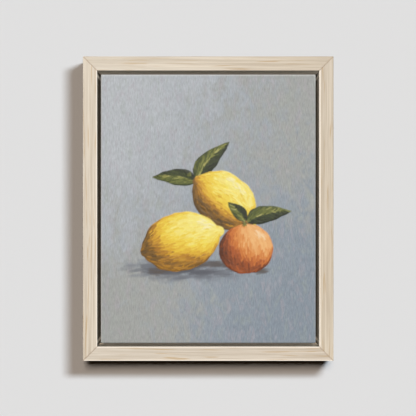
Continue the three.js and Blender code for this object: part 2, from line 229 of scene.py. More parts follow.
def new_effect(name, inputs, outputs):
    tree = bpy.data.node_groups.new(name, "ShaderNodeTree")
    for label, kind, value in inputs:
        socket = tree.interface.new_socket(label, in_out="INPUT", socket_type=kind)
        if value is not None:
            socket.default_value = value
    for label, kind in outputs:
        tree.interface.new_socket(label, in_out="OUTPUT", socket_type=kind)
    entry = tree.nodes.new("NodeGroupInput")
    result = tree.nodes.new("NodeGroupOutput")
    return Shader(tree), entry.outputs, result.inputs


def new_material(name, roughness=0.5, metallic=0.0, specular=0.5, coat=0.0, coat_roughness=0.2):
    """A material with its plain values on the surface's own sockets, and the tree for the rest."""
    material = bpy.data.materials.new(name)
    material.use_nodes = True
    plain = {
        "Roughness": roughness, "Metallic": metallic, "Specular IOR Level": specular,
        "Coat Weight": coat, "Coat Roughness": coat_roughness,
    }
    for socket, value in plain.items():
        material.node_tree.nodes["Principled BSDF"].inputs[socket].default_value = value
    return material, Shader(material.node_tree)


def finished(material, shader, colour, height=None, relief=0.0, roughness=None):
    """The material with its colour and, where they are given, its relief in millimetres and its roughness."""
    surface = material.node_tree.nodes["Principled BSDF"].inputs
    shader.set(surface["Base Color"], colour)
    if height is not None:
        shader.set(surface["Normal"], shader.bump(height, relief * MM))
    if roughness is not None:
        shader.set(surface["Roughness"], roughness)
    return material


COLOUR, VALUE, PLACE = "NodeSocketColor", "NodeSocketFloat", "NodeSocketVector"


def make_grain():
    """Straight-grained wood. Place is in millimetres: along the grain, then the two ways across it."""
    shader, given, result = new_effect(
        "grain",
        [("Place", PLACE, None), ("Light", COLOUR, (1, 1, 1, 1)), ("Dark", COLOUR, (0, 0, 0, 1)),
         ("Streak", COLOUR, (0, 0, 0, 1)), ("Ring", VALUE, 2.0), ("Streaks", VALUE, 0.5)],
        [("Colour", COLOUR), ("Height", VALUE), ("Fibre", VALUE)],
    )
    place = given["Place"]
    sway = shader.noise(place, (90, 30, 30), 1.0)
    offset = shader.times(sway, 3.0)
    swayed = shader.node(
        "ShaderNodeVectorMath",
        {0: place, 1: shader.node("ShaderNodeCombineXYZ", {1: offset, 2: offset})},
        operation="ADD",
    )
    ring_noise = shader.noise(swayed, (260, 5.5, 5.5), 2.0, 0.6)
    rings = shader.math("SINE", shader.times(ring_noise, shader.times(given["Ring"], 12.0)))
    fibre = shader.noise(place, (34, 0.62, 0.62), 3.0, 0.65)
    pores = shader.noise(place, (7, 0.28, 0.28), 1.0)
    broad = shader.noise(swayed, (120, 3.2, 3.2), 2.0, 0.5, shift=(3, 7, 1))
    long_line = shader.noise(place, (75, 1.15, 1.15), 2.0, 0.6, shift=(5, 2, 8))
    tone = shader.line(rings, 0.13, 0.5)
    tone = shader.plus(tone, shader.line(fibre, 0.9, -0.45))
    tone = shader.plus(tone, shader.line(long_line, 1.5, -0.75))
    tone = shader.plus(tone, shader.line(broad, 0.4, -0.2))
    wood = shader.mix(shader.between(tone, 0.0, 1.0), given["Dark"], given["Light"])
    streak_noise = shader.noise(swayed, (46, 1.9, 1.9), 2.0, 0.55, shift=(11, 5, 3))
    streak = shader.times(shader.between(streak_noise, 0.585, 0.70), given["Streaks"])
    shader.set(result["Colour"], shader.mix(streak, wood, given["Streak"]))
    shader.set(result["Height"], shader.line(pores, 0.4, shader.times(fibre, 0.6)))
    shader.set(result["Fibre"], fibre)
    return shader.tree


def make_weave():
    """A plain weave. Place is in millimetres across the cloth, and Pitch is from thread to thread."""
    shader, given, result = new_effect(
        "weave",
        [("Place", PLACE, None), ("Pitch", VALUE, 0.7)],
        [("Height", VALUE), ("Thread", VALUE)],
    )
    wobble = shader.noise(given["Place"], (5, 5, 5), 2.0, out=1)
    moved = shader.node("ShaderNodeMix", {0: 0.06, 4: given["Place"], 5: wobble}, 1, data_type="VECTOR")
    place = shader.parts(moved)
    across = shader.math("DIVIDE", place[0], given["Pitch"])
    along = shader.math("DIVIDE", place[1], given["Pitch"])
    over = shader.plus(shader.math("FLOOR", across), shader.math("FLOOR", along))
    over = shader.math("PINGPONG", over, 1.0)
    round_across = shader.math("ABSOLUTE", shader.math("SINE", shader.times(across, math.pi)))
    round_along = shader.math("ABSOLUTE", shader.math("SINE", shader.times(along, math.pi)))
    low = shader.times(round_across, shader.line(round_along, 0.4, 0.6))
    high = shader.times(round_along, shader.line(round_across, 0.4, 0.6))
    height = shader.mix_values(over, low, high)
    slub = shader.noise(given["Place"], (0.9, 9, 9), 2.0)
    slub_across = shader.noise(given["Place"], (9, 0.9, 9), 2.0)
    thread = shader.mix_values(over, slub, slub_across)
    shader.set(result["Height"], shader.times(height, shader.plus(thread, 0.5)))
    shader.set(result["Thread"], thread)
    return shader.tree


def make_handling():
    """Fine scratches and dull blotches on metal. Place is in millimetres."""
    shader, given, result = new_effect(
        "handling",
        [("Place", PLACE, None)],
        [("Blotch", VALUE), ("Scratch", VALUE)],
    )
    blotch = shader.noise(given["Place"], (4.5, 4.5, 4.5), 3.0, 0.55)
    scratch = shader.noise(given["Place"], (4, 0.12, 0.25), 2.0, 0.7, 0.4)
    shader.set(result["Blotch"], shader.between(blotch, 0.35, 0.7))
    shader.set(result["Scratch"], shader.between(scratch, 0.45, 0.75))
    return shader.tree


GRAIN = make_grain()
WEAVE = make_weave()
HANDLING = make_handling()


def in_millimetres(shader, vector):
    return shader.node("ShaderNodeVectorMath", {0: vector, "Scale": 1 / MM}, operation="SCALE")


def object_place(shader):
    return in_millimetres(shader, shader.node("ShaderNodeTexCoord", {}, "Object"))


# Materials

# From one thread of the cloth to the next, in millimetres
THREAD_PITCH = 0.72


def mitre_distance(shader):
    """How far a place on a rail is from the nearer mitre, in millimetres."""
    ends = shader.parts(in_millimetres(shader, shader.attribute("ends")))
    return shader.math("MINIMUM", ends[0], ends[1])


def light_wood():
    """Pale clear-finished wood: straight grain, tan streaks and hairline mitres, with arrises lightened by
    sanding and by a painted highlight, and painted light and shade along each rail.
    """
    material, shader = new_material("light_wood", roughness=0.5, coat=0.25, coat_roughness=0.3)
    place = in_millimetres(shader, shader.attribute("grain"))
    grain = shader.effect(GRAIN, {
        "Place": place, "Light": tint(211, 199, 183), "Dark": tint(183, 168, 149),
        "Streak": tint(180, 153, 116), "Ring": 1.0, "Streaks": 0.8,
    })
    # Painted light and shade along each rail, lighter towards the left and darker towards the top right
    wood = shader.mix(1.0, grain["Colour"], shader.attribute("board_tint"), "MULTIPLY")
    inward, depth = shader.parts(place)[1:3]
    arris_sanding_and_highlight = shader.parts(shader.attribute("arris_sanding_and_highlight"))
    # Pale arrises: partly sanded wood, partly a painted highlight, set side by side
    from_inner = shader.minus(FACE_WIDTH / MM, inward)
    inner = shader.times(shader.between(from_inner, 1.35, 0.8), arris_sanding_and_highlight[0])
    outer = shader.times(shader.between(inward, 1.3, 0.7), arris_sanding_and_highlight[1])
    from_front = shader.minus(depth, FRAME_FRONT / MM)
    arris = shader.times(shader.plus(inner, outer), shader.between(from_front, 1.6, 0.9))
    pale_edges = shader.mix(arris, wood, tint(255, 244, 229))
    mitre = shader.between(mitre_distance(shader), 0.85, 0.05)
    pale_edges = shader.mix(shader.times(mitre, 0.42), pale_edges, tint(150, 118, 84))
    return finished(material, shader, pale_edges, grain["Height"], 0.05, shader.line(grain["Fibre"], 0.16, 0.40))


def rebate_paint():
    """Near-black paint brushed along the rebate, paler in places as painted light in the gap: thin paint with
    pale wood under it.
    """
    material, shader = new_material("rebate_paint", roughness=0.7)
    place = in_millimetres(shader, shader.attribute("grain"))
    brushed = shader.noise(place, (22, 0.7, 0.7), 3.0, 0.6)
    patch = shader.noise(place, (30, 6, 6), 2.0)
    tone = shader.line(patch, 0.5, shader.times(brushed, 0.5))
    depth = shader.parts(place)[2]
    deep = shader.between(shader.minus(depth, FRAME_FRONT / MM), 8.0, 24.0)
    # Painted light in the gap: the rebate is paler near the front or deep in it, side by side, and by the
    # mitres
    pale_front, pale_deep, pale_by_mitres = shader.parts(shader.attribute("thin_paint_and_gap_light"))[:3]
    pale_share = shader.mix_values(deep, pale_front, pale_deep)
    to_mitre = mitre_distance(shader)
    near_mitres = shader.times(shader.between(to_mitre, 5.0, 3.4), shader.between(to_mitre, 1.6, 2.6))
    pale_share = shader.math("MAXIMUM", pale_share, shader.times(near_mitres, pale_by_mitres))
    dark = shader.mix(shader.between(tone, 0.3, 0.7), tint(82, 76, 64), tint(104, 97, 84))
    paint = shader.mix(pale_share, dark, tint(244, 231, 210))
    return finished(material, shader, paint, brushed, 0.04, shader.line(brushed, 0.25, 0.55))


def painted_ground(shader, cloth):
    """Cloudy blue and grey, brushed up and down. Gives its colour and its coarse and fine brush marks."""
    across, up = shader.parts(cloth)[:2]
    drift = shader.noise(cloth, (70, 80, 60), 2.0, 0.5, 0.4, shift=(2.3, 4.1, 0))
    patch = shader.noise(cloth, (18, 34, 20), 2.0, 0.5, 0.7, shift=(7.1, 2.2, 0))
    cloud = shader.noise(cloth, (9, 14, 10), 2.0, 0.55, 0.8, shift=(1, 6, 0))
    slope = shader.line(across, 0.0030, shader.times(up, -0.0020))
    deep = shader.plus(shader.plus(slope, 0.55), shader.line(patch, 0.30, -0.15))
    saddle = shader.times(shader.times(across, up), 0.000055)
    warm = shader.plus(saddle, shader.line(patch, 0.2, shader.times(drift, 0.8)))
    warm = shader.plus(warm, shader.line(cloud, 1.2, -0.6))
    ground = shader.mix(shader.between(deep, 0.0, 1.0), tint(185, 189, 193), tint(136, 147, 158))
    ground = shader.mix(shader.between(warm, 0.34, 1.0), ground, tint(163, 165, 162))
    tinted = shader.noise(cloth, (5.5, 16, 10), 3.0, 0.6, 0.5, shift=(5, 9, 0))
    violet = shader.between(tinted, 0.51, 0.68)
    green = shader.between(tinted, 0.47, 0.31)
    ground = shader.mix(shader.times(violet, 0.36), ground, tint(174, 166, 173))
    ground = shader.mix(shader.times(green, 0.32), ground, tint(162, 170, 162))
    dab = shader.noise(cloth, (3.4, 9, 10), 2.0, 0.5, 0.6, shift=(9, 3, 0))
    streak = shader.noise(cloth, (0.9, 4.6, 10), 3.0, 0.65, 0.3)
    hair = shader.noise(cloth, (0.55, 6.5, 10), 2.0, 0.65, shift=(3, 1, 0))
    value = shader.line(streak, 0.72, shader.line(dab, 0.14, shader.line(hair, 0.46, 0.34)))
    lift = shader.node("ShaderNodeCombineXYZ", {0: value, 1: value, 2: value})
    return shader.mix(1.0, ground, lift, "MULTIPLY"), streak, hair


def painted_canvas():
    """Oil paint on the front: a brushed ground with the picture over it. Primed white past the edges; the
    primer's pale top and left edges are a painted highlight, and the folds' creases carry painted shade.
    """
    material, shader = new_material("painted_canvas", roughness=0.5, specular=0.4)
    cloth = in_millimetres(shader, shader.attribute("cloth"))
    across, up = shader.parts(cloth)[:2]
    edge = shader.attribute("edge", "Fac")
    picture = shader.attribute("picture", "Color")
    cover = shader.attribute("picture", "Alpha")
    ground, streak, hair = painted_ground(shader, cloth)
    under = shader.mix(cover, ground, (0, 0, 0, 1))
    painted = shader.mix(1.0, under, picture, "ADD")
    ragged = shader.noise(cloth, (3.0, 3.0, 3.0), 3.0, 0.6)
    past = shader.minus(edge, shader.times(ragged, 7.0))
    bare = shader.between(past, -1.0, 1.5)
    # Painted highlight: the primer shows more along the top and left edges, where they catch the light
    pale_top_edge = shader.between(up, 115.0, 126.0, 0.12, 0.5)
    pale_left_edge = shader.between(across, -98.5, -100.5, 0.12, 0.5)
    pale_edges = shader.math("MAXIMUM", pale_top_edge, pale_left_edge)
    pale_share = shader.times(shader.between(edge, -1.8, -0.6), pale_edges)
    primer = shader.mix(ragged, tint(226, 226, 221), tint(208, 207, 201))
    shown = shader.mix(shader.math("MAXIMUM", bare, pale_share), painted, primer)
    # Painted shade along the corner folds' creases
    fold_shade = shader.between(shader.attribute("fold_shade", "Fac"), 0.35, 1.0)
    shown = shader.mix(shader.times(fold_shade, 0.5), shown, tint(112, 108, 100))
    weave = shader.effect(WEAVE, {"Place": cloth, "Pitch": THREAD_PITCH})
    height = shader.times(weave["Height"], shader.line(cover, -0.6, 1.0))
    height = shader.plus(shader.plus(height, shader.times(streak, 1.1)), shader.times(hair, 0.5))
    return finished(material, shader, shown, height, 0.06, shader.line(cover, -0.10, 0.58))


def raw_cotton():
    """The unprimed inside of the cloth, seen from behind."""
    material, shader = new_material("raw_cotton", roughness=0.9, specular=0.2)
    cloth = in_millimetres(shader, shader.attribute("cloth"))
    weave = shader.effect(WEAVE, {"Place": cloth, "Pitch": THREAD_PITCH})
    speck = shader.noise(cloth, (1.2, 1.2, 1.2), 2.0, 0.6)
    stain = shader.noise(cloth, (40, 40, 40), 3.0)
    # Painted shade in the hollows between the threads
    gap_shade = shader.times(shader.between(weave["Height"], 0.3, 0.0), 0.4)
    stained = shader.times(shader.between(stain, 0.5, 0.8), 0.3)
    cotton = shader.mix(shader.between(weave["Thread"], 0.3, 0.7), tint(203, 190, 164), tint(222, 210, 186))
    cotton = shader.mix(gap_shade, cotton, tint(160, 145, 118))
    cotton = shader.mix(shader.between(speck, 0.70, 0.76), cotton, tint(140, 116, 82))
    cotton = shader.mix(stained, cotton, tint(196, 180, 150))
    return finished(material, shader, cotton, weave["Height"], 0.14)


def bar_wood():
    """Planed bare softwood: wide yellow rings."""
    material, shader = new_material("bar_wood", roughness=0.75, specular=0.3)
    grain = shader.effect(GRAIN, {
        "Place": in_millimetres(shader, shader.attribute("grain")),
        "Light": tint(226, 198, 152), "Dark": tint(196, 156, 104),
        "Streak": tint(166, 116, 66), "Ring": 2.2, "Streaks": 0.8,
    })
    roughness = shader.line(grain["Fibre"], 0.15, 0.66)
    return finished(material, shader, grain["Colour"], grain["Height"], 0.08, roughness)


def spline_wood():
    """Three-ply birch: two pale faces and a darker core, as layers through the thickness."""
    material, shader = new_material("spline_wood", roughness=0.8, specular=0.3)
    place = object_place(shader)
    grain = shader.effect(GRAIN, {
        "Place": place, "Light": tint(206, 170, 124), "Dark": tint(176, 134, 88),
        "Streak": tint(150, 106, 64), "Ring": 1.5, "Streaks": 0.5,
    })
    layer = shader.math("PINGPONG", shader.parts(place)[1], 1.0)
    core = shader.mix(shader.between(layer, 0.35, 0.55), grain["Colour"], tint(150, 108, 70))
    return finished(material, shader, core, grain["Height"], 0.08)


def metal(name, bright, dull, roughness, tarnish=None):
    """Plated or bare wire and sheet, with blotches and fine scratches."""
    material, shader = new_material(name, roughness=roughness, metallic=1.0)
    place = object_place(shader)
    marks = shader.effect(HANDLING, {"Place": place})
    colour = shader.mix(marks["Blotch"], bright, dull)
    if tarnish is not None:
        spots = shader.noise(place, (5, 5, 5), 3.0, 0.6, shift=(4, 4, 4))
        colour = shader.mix(shader.times(shader.between(spots, 0.5, 0.75), 0.6), colour, tarnish)
    rough = shader.line(marks["Scratch"], 0.08, shader.line(marks["Blotch"], 0.18, roughness))
    return finished(material, shader, colour, marks["Scratch"], 0.004, rough)


def bumper_rubber():
    """Matt black rubber with a dusty, faintly pitted face."""
    material, shader = new_material("bumper_rubber", roughness=0.85, specular=0.3)
    place = object_place(shader)
    pits = shader.noise(place, (0.5, 0.5, 0.5), 3.0, 0.7)
    dust = shader.noise(place, (3, 3, 3), 3.0)
    rubber = shader.mix(shader.between(dust, 0.45, 0.75), tint(44, 44, 46), tint(72, 70, 68))
    return finished(material, shader, rubber, pits, 0.03)


LIGHT_WOOD = light_wood()
REBATE_PAINT = rebate_paint()
PAINTED_CANVAS = painted_canvas()
RAW_COTTON = raw_cotton()
BAR_WOOD = bar_wood()
SPLINE_WOOD = spline_wood()
ZINC = metal("zinc_plate", tint(196, 198, 202), tint(158, 160, 166), 0.28)
GALVANISED = metal("galvanised_wire", tint(190, 191, 194), tint(148, 150, 152), 0.34)
SPRING_STEEL = metal("spring_steel", tint(150, 150, 152), tint(104, 102, 100), 0.36, tint(86, 60, 40))
BRASS = metal("tarnished_brass", tint(232, 204, 142), tint(206, 172, 110), 0.30, tint(158, 126, 80))
RUBBER = bumper_rubber()


# Making pieces

def mesh_of(name, bm):
    """The mesh of a bmesh, which is used up."""
    mesh = bpy.data.meshes.new(name)
    bm.to_mesh(mesh)
    bm.free()
    return mesh


def put_in_scene(name, data):
    made = bpy.data.objects.new(name, data)
    bpy.context.scene.collection.objects.link(made)
    return made


def new_piece(name, bm, materials, slot, nodes, smooth_angle=35):
    """The piece made from a bmesh, riding on the part's one body in place of the named nodes."""
    mesh = mesh_of(name, bm)
    for material in materials:
        mesh.materials.append(material)
    return place_piece(name, mesh, slot, nodes, smooth_angle)


def place_piece(name, mesh, slot, nodes, smooth_angle):
    for polygon in mesh.polygons:
        polygon.use_smooth = True
    mesh.set_sharp_from_angle(angle=math.radians(smooth_angle))
    piece = put_in_scene(name, mesh)
    level = piece.modifiers.new("flat faces stay flat", "WEIGHTED_NORMAL")
    level.keep_sharp = True
    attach(piece, "root")
    if nodes:
        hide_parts(*nodes)
    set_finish(piece, slot)
    return piece


def middle_of(node):
    low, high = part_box(node)
    return (low + high) / 2


def edges_over(bm, angle, length=0.0):
    """The edges longer than a length whose two faces turn by more than an angle in degrees."""
    sharp = math.radians(angle)
    return [edge for edge in bm.edges
            if edge.is_manifold and edge.calc_face_angle() > sharp and edge.calc_length() > length]


def ease_edges(bm, edges, width, segments=2):
    bmesh.ops.bevel(
        bm, geom=edges, offset=width, offset_type="OFFSET", segments=segments, profile=0.5,
        affect="EDGES", clamp_overlap=True, material=-1,
    )


def merged_copy(node):
    """A node's solid as a bmesh, with its loose triangles joined and its flat faces made one."""
    bm = bmesh.new()
    bm.from_mesh(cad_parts[node].data)
    bmesh.ops.remove_doubles(bm, verts=bm.verts, dist=SAME_POINT)
    bmesh.ops.dissolve_limit(bm, angle_limit=math.radians(1), verts=bm.verts, edges=bm.edges)
    return bm


def eased_node(name, node, material, slot, width):
    """A node's own form with its sharp edges rounded off."""
    bm = merged_copy(node)
    ease_edges(bm, edges_over(bm, 40), width)
    return new_piece(name, bm, [material], slot, [node])


def turned(profile, steps):
    """A body turned about the Y axis through the origin, from (radius, y) pairs that start and end on it."""
    bm = bmesh.new()
    points = [bm.verts.new((radius, y, 0)) for radius, y in profile]
    edges = [bm.edges.new(pair) for pair in zip(points, points[1:])]
    bmesh.ops.spin(
        bm, geom=points + edges, cent=(0, 0, 0), axis=(0, 1, 0), angle=math.tau, steps=steps, use_merge=True,
    )
    bmesh.ops.remove_doubles(bm, verts=bm.verts, dist=SAME_POINT)
    bmesh.ops.recalc_face_normals(bm, faces=bm.faces)
    return bm


def arc(centre_x, centre_y, radius, start, end, steps):
    """Points along an arc, with its angles in degrees."""
    turns = [math.radians(start + (end - start) * i / steps) for i in range(steps + 1)]
    return [(centre_x + radius * math.cos(turn), centre_y + radius * math.sin(turn)) for turn in turns]


def cut_away(bm, tool):
    """What is left of a form when a tool's form is taken out of it. Both are used up."""
    blank = put_in_scene("blank", mesh_of("blank", bm))
    cutter = put_in_scene("cutter", mesh_of("cutter", tool))
    cut = blank.modifiers.new("cut", "BOOLEAN")
    cut.operation = "DIFFERENCE"
    cut.object = cutter
    cut.solver = "EXACT"
    cut.use_self = True
    graph = bpy.context.evaluated_depsgraph_get()
    result = bmesh.new()
    result.from_mesh(blank.evaluated_get(graph).to_mesh())
    bpy.data.objects.remove(blank)
    bpy.data.objects.remove(cutter)
    return result


# Frame

def nail_slots():
    """The slots that the corner nails are driven into, open at the frame's back."""
    slots = bmesh.new()
    for side in SIDES:
        for number in (1, 2):
            nail = merged_copy(f"vee_nail_{side}_{number}")
            nail.normal_update()
            places = [vert.co + NAIL_ROOM * vert.normal for vert in nail.verts]
            back = max(place.y for place in places)
            for vert, place in zip(nail.verts, places):
                vert.co = place
                if place.y > back - NAIL_ROOM:
                    vert.co.y = FRAME_BACK + NAIL_ROOM
            mesh = mesh_of("slot", nail)
            slots.from_mesh(mesh)
            bpy.data.meshes.remove(mesh)
    return slots


def moulding_section():
    """The rail's outline as (inward, depth) pairs, from its outer back edge round the front."""
    radius = ARRIS_RADIUS
    ledge_front = FRAME_BACK - LEDGE_THICKNESS
    toe = FOOT_WIDTH
    front = [(BACK_EASE, FRAME_BACK), (0, FRAME_BACK - BACK_EASE)]
    front += arc(radius, FRAME_FRONT + radius, radius, 180, 270, 6)
    front += arc(FACE_WIDTH - radius, FRAME_FRONT + radius, radius, 270, 360, 6)
    rebate = [(FACE_WIDTH, ledge_front), (toe - BACK_EASE, ledge_front), (toe, ledge_front + BACK_EASE)]
    back = [(toe, FRAME_BACK - BACK_EASE), (toe - BACK_EASE, FRAME_BACK)]
    return front + rebate + back


def mitred_rail(length):
    """The moulding along X, cut to its mitres, with its outer side at z = 0 and its rebate's faces marked."""
    bm = bmesh.new()
    first = bm.faces.new([bm.verts.new((0, depth, -inward)) for inward, depth in moulding_section()])
    grown = bmesh.ops.extrude_face_region(bm, geom=[first], use_keep_orig=True)["geom"]
    far = {vert for vert in grown if isinstance(vert, bmesh.types.BMVert)}
    for vert in bm.verts:
        inward = -vert.co.z
        cut_back = inward + MITRE_GAP
        vert.co.x = length / 2 - cut_back if vert in far else cut_back - length / 2
    bmesh.ops.recalc_face_normals(bm, faces=bm.faces)
    for face in bm.faces:
        middle = face.calc_center_median()
        inner_wall = abs(-middle.z - FACE_WIDTH) < SAME_PLANE
        ledge = -middle.z > FACE_WIDTH and middle.y < FRAME_BACK - LEDGE_THICKNESS + 2 * BACK_EASE
        face.material_index = 1 if (inner_wall or ledge) and len(face.verts) == 4 else 0
    mitred = [edge for edge in bm.edges if any(len(face.verts) > 4 for face in edge.link_faces)]
    ease_edges(bm, mitred, MITRE_EASE, 1)
    return bm


def mark_rail(bm, unplaced, length, turn, side):
    """Writes what the materials read at each place: the grain, the mitres, and the rail's painted light and
    shade on its arrises, in its rebate and along it.
    """
    names = ("grain", "ends", "arris_sanding_and_highlight", "thin_paint_and_gap_light", "board_tint")
    grain, ends, arris_sanding_and_highlight, thin_paint_and_gap_light, board_tint = (bm.verts.layers.float_vector.new(name) for name in names)
    first_tint, last_tint = (Vector(part) for part in RAIL_LIGHT_TINTS[side])
    for vert in bm.verts:
        along, depth, outward = unplaced @ vert.co
        inward = -outward
        vert[grain] = Vector((along + RAIL_SHIFT * turn, inward, depth))
        vert[ends] = Vector((along + length / 2 - inward, length / 2 - along - inward, 0)) / math.sqrt(2)
        vert[arris_sanding_and_highlight] = (*ARRIS_SANDING_AND_HIGHLIGHT[side], 0)
        vert[thin_paint_and_gap_light] = THIN_PAINT_AND_GAP_LIGHT[side]
        vert[board_tint] = first_tint.lerp(last_tint, 0.5 + along / length)


def make_rail(turn, side):
    """One mitred rail, made as the top one and turned to its side."""
    width, height = FRAME_RIGHT - FRAME_LEFT, FRAME_TOP - FRAME_BOTTOM
    length, reach = (height, width / 2) if turn % 2 else (width, height / 2)
    placed = Matrix.Translation(FRAME_MIDDLE) @ Matrix.Rotation(turn * math.pi / 2, 4, "Y")
    placed = placed @ Matrix.Translation((0, 0, reach))
    bm = mitred_rail(length)
    bmesh.ops.transform(bm, matrix=placed, verts=bm.verts)
    bm = cut_away(bm, nail_slots())
    mark_rail(bm, placed.inverted(), length, turn, side)
    woods = [LIGHT_WOOD, REBATE_PAINT]
    return new_piece(f"rail_{side}", bm, woods, "light_wood", [f"frame_rail_{side}"], smooth_angle=50)


for turn, side in enumerate(SIDES):
    make_rail(turn, side)
    for number in (1, 2):
        node = f"vee_nail_{side}_{number}"
        eased_node(f"corner_nail_{side}_{number}", node, SPRING_STEEL, "nail_steel", NAIL_EASE)


# Stretcher bars, their corner plates and the staples

def staples_of(turn, side):
    """The staples on a bar: five on those that lie across and six on those that stand."""
    return [f"staple_{side}_{number}" for number in range(1, (6 if turn % 2 else 5) + 1)]


def make_bar(turn, side):
    node = f"stretcher_bar_{side}"
    bm = merged_copy(node)
    ease_edges(bm, edges_over(bm, 60, length=20 * MM), BAR_EASE)
    grain = bm.verts.layers.float_vector.new("grain")
    middle = middle_of(node)
    for vert in bm.verts:
        x, y, z = vert.co - middle
        along, across = (z, x) if turn % 2 else (x, z)
        vert[grain] = Vector((along + BAR_SHIFT[0] * turn, across + BAR_SHIFT[1] * turn, y))
    return new_piece(f"bar_{side}", bm, [BAR_WOOD], "bar_wood", [node])


for turn, side in enumerate(SIDES):
    make_bar(turn, side)
    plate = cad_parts[f"corner_spline_{side}"]
    plate.data.materials.clear()
    plate.data.materials.append(SPLINE_WOOD)
    plate["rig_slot"] = "spline_wood"
    for node in staples_of(turn, side):
        eased_node(f"wire_{node}", node, GALVANISED, "staple_wire", STAPLE_EASE)


# Fastenings at the back: turned about the Y axis and then set on the middle of their node

def radius_and_ends(node):
    low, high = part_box(node)
    return (high.x - low.x) / 2, low.y, high.y


def place_turned(name, bm, material, slot, node):
    middle = middle_of(node)
    bmesh.ops.translate(bm, verts=bm.verts, vec=(middle.x, 0, middle.z))
    return new_piece(name, bm, [material], slot, [node])


def dome(radius, foot, top, last, steps):
    """The profile of a domed head: from its rim up to an angle in degrees, and the middle of its top."""
    turns = [math.radians(last * i / steps) for i in range(steps + 1)]
    return [(radius * math.cos(turn), foot + (top - foot) * math.sin(turn)) for turn in turns] + [(0, top)]


def cross_recess(bm, top, length, width, depth):
    """Sinks a cross into the domed head at y = top of a turned body."""
    cross = bmesh.new()
    for size in ((length, 2 * depth, width), (width, 2 * depth, length)):
        made = bmesh.ops.create_cube(cross, size=1.0, matrix=Matrix.Diagonal((*size, 1)))
        bmesh.ops.translate(cross, verts=made["verts"], vec=(0, top, 0))
    return cut_away(bm, cross)


def make_screw(name, node):
    """A pan-head wood screw: a domed head with a cross in it, and a threaded shank."""
    radius, point, top = radius_and_ends(node)
    core, crest, pitch, shank = 1.05 * MM, 1.55 * MM, 1.25 * MM, 1.2 * MM
    tip, taper, head = 0.8 * MM, 4 * MM, 1.6 * MM
    seat = top - head
    profile = [(0, point)]
    level = point + tip
    while level < seat - 3 * pitch:
        grown = min(1.0, (level - point) / taper)
        thread = [(core, 0), (crest, 0.45 * pitch), (core, 0.6 * pitch)]
        profile += [(across * grown, level + up) for across, up in thread]
        level += pitch
    profile += [(shank, level), (shank, seat), (radius - 0.15 * MM, seat), (radius, seat + 0.2 * MM)]
    profile += dome(radius, seat + 0.35 * MM, top, 81, 9)
    bm = cross_recess(turned(profile, 32), top, length=3.6 * MM, width=0.8 * MM, depth=0.9 * MM)
    return place_turned(name, bm, ZINC, "screw_steel", node)


def make_brad(name, node):
    """A small nail with a domed head."""
    radius, point, top = radius_and_ends(node)
    seat, shank = top - 0.5 * MM, 0.75 * MM
    profile = [(0, point), (shank, point + 1.5 * MM), (shank, seat), (radius - 0.1 * MM, seat)]
    profile += dome(radius, seat + 0.08 * MM, top, 80, 7)
    return place_turned(name, turned(profile, 24), BRASS, "hanger_brass", node)


def make_bumper(name, node):
    """A moulded rubber pad: a rounded shoulder and a faintly dished face."""
    radius, foot, top = radius_and_ends(node)
    cut, shoulder = 0.15 * MM, 0.9 * MM
    profile = [(0, foot), (radius - cut, foot), (radius, foot + cut)]
    profile += arc(radius - shoulder, top - shoulder, shoulder, 0, 90, 6)
    profile += [(share * radius, top - dish * MM) for share, dish in ((0.55, 0.04), (0.25, 0.08), (0, 0.09))]
    return place_turned(name, turned(profile, 40), RUBBER, "bumper_rubber", node)


for side in ("left", "right"):
    for number in (1, 2):
        make_screw(f"pan_screw_{side}_{number}", f"screw_{side}_{number}")
eased_node("notched_hanger", "sawtooth_hanger", BRASS, "hanger_brass", HANGER_EASE)
for side in ("left", "right"):
    make_brad(f"brass_brad_{side}", f"hanger_brad_{side}")
    make_bumper(f"rubber_bumper_{side}", f"bumper_{side}")


# The picture: fruit with leaves, laid stroke by stroke. Millimetres from the canvas's middle.

STEP = 0.25
SUN = np.array([0.50, 0.58, 0.64])

LEMON = [
    (0.00, (84, 62, 24)),
    (0.16, (128, 90, 26)),
    (0.34, (184, 128, 32)),
    (0.52, (220, 170, 44)),
    (0.70, (236, 200, 60)),
    (0.86, (241, 216, 82)),
    (1.00, (247, 233, 134)),
]
TANGERINE = [
    (0.00, (80, 38, 16)),
    (0.18, (124, 60, 22)),
    (0.38, (172, 86, 32)),
    (0.58, (202, 114, 46)),
    (0.78, (222, 142, 68)),
    (1.00, (240, 184, 118)),
]
LEAF = [
    (0.00, (28, 34, 15)),
    (0.28, (48, 59, 21)),
    (0.52, (80, 89, 33)),
    (0.76, (119, 122, 52)),
    (1.00, (172, 168, 98)),
]
CAST = [(0.00, (84, 86, 94)), (0.50, (106, 110, 118)), (1.00, (128, 134, 142))]
FOOT_SHADE = (92, 78, 62)
LEMON_GLINT = (252, 242, 186)
TANGERINE_GLINT = (250, 214, 166)

# How a lemon's sides swell: the powers of the curve of its outline
LEMON_POWER = (2.5, 0.66)

# Passes of strokes: length, width, how often they cover the form, spread of tone, paint, spread of turn
FRUIT_PASSES = [
    (22, 7.5, 5.0, 0.045, 0.10, 0.28),
    (15, 4.8, 3.8, 0.045, 0.15, 0.20),
    (10, 2.9, 2.6, 0.045, 0.20, 0.16),
    (7, 1.5, 0.9, 0.07, 0.24, 0.16),
]
LEAF_PASSES = [
    (12, 4.0, 6.0, 0.05, 0.10, 0.16),
    (9, 2.2, 3.4, 0.06, 0.16, 0.12),
    (6, 1.2, 1.6, 0.08, 0.20, 0.12),
]

# How many strokes make the shadow, the dark line under the fruit and a fruit's glints, and how lit these are
SHADOW_STROKES = 620
FOOT_STROKES = 160
GLINTS = 16
GLINT_LIGHT = 0.972


def ramp(stops, tone):
    """The colour at a tone between a row of stops, from shadow to light."""
    places = [stop[0] for stop in stops]
    colours = np.array([shade(*stop[1]) for stop in stops])
    return np.stack([np.interp(tone, places, colours[:, part]) for part in range(3)], axis=-1)


def ease(low, high, value):
    share = np.clip((value - low) / (high - low), 0, 1)
    return share * share * (3 - 2 * share)


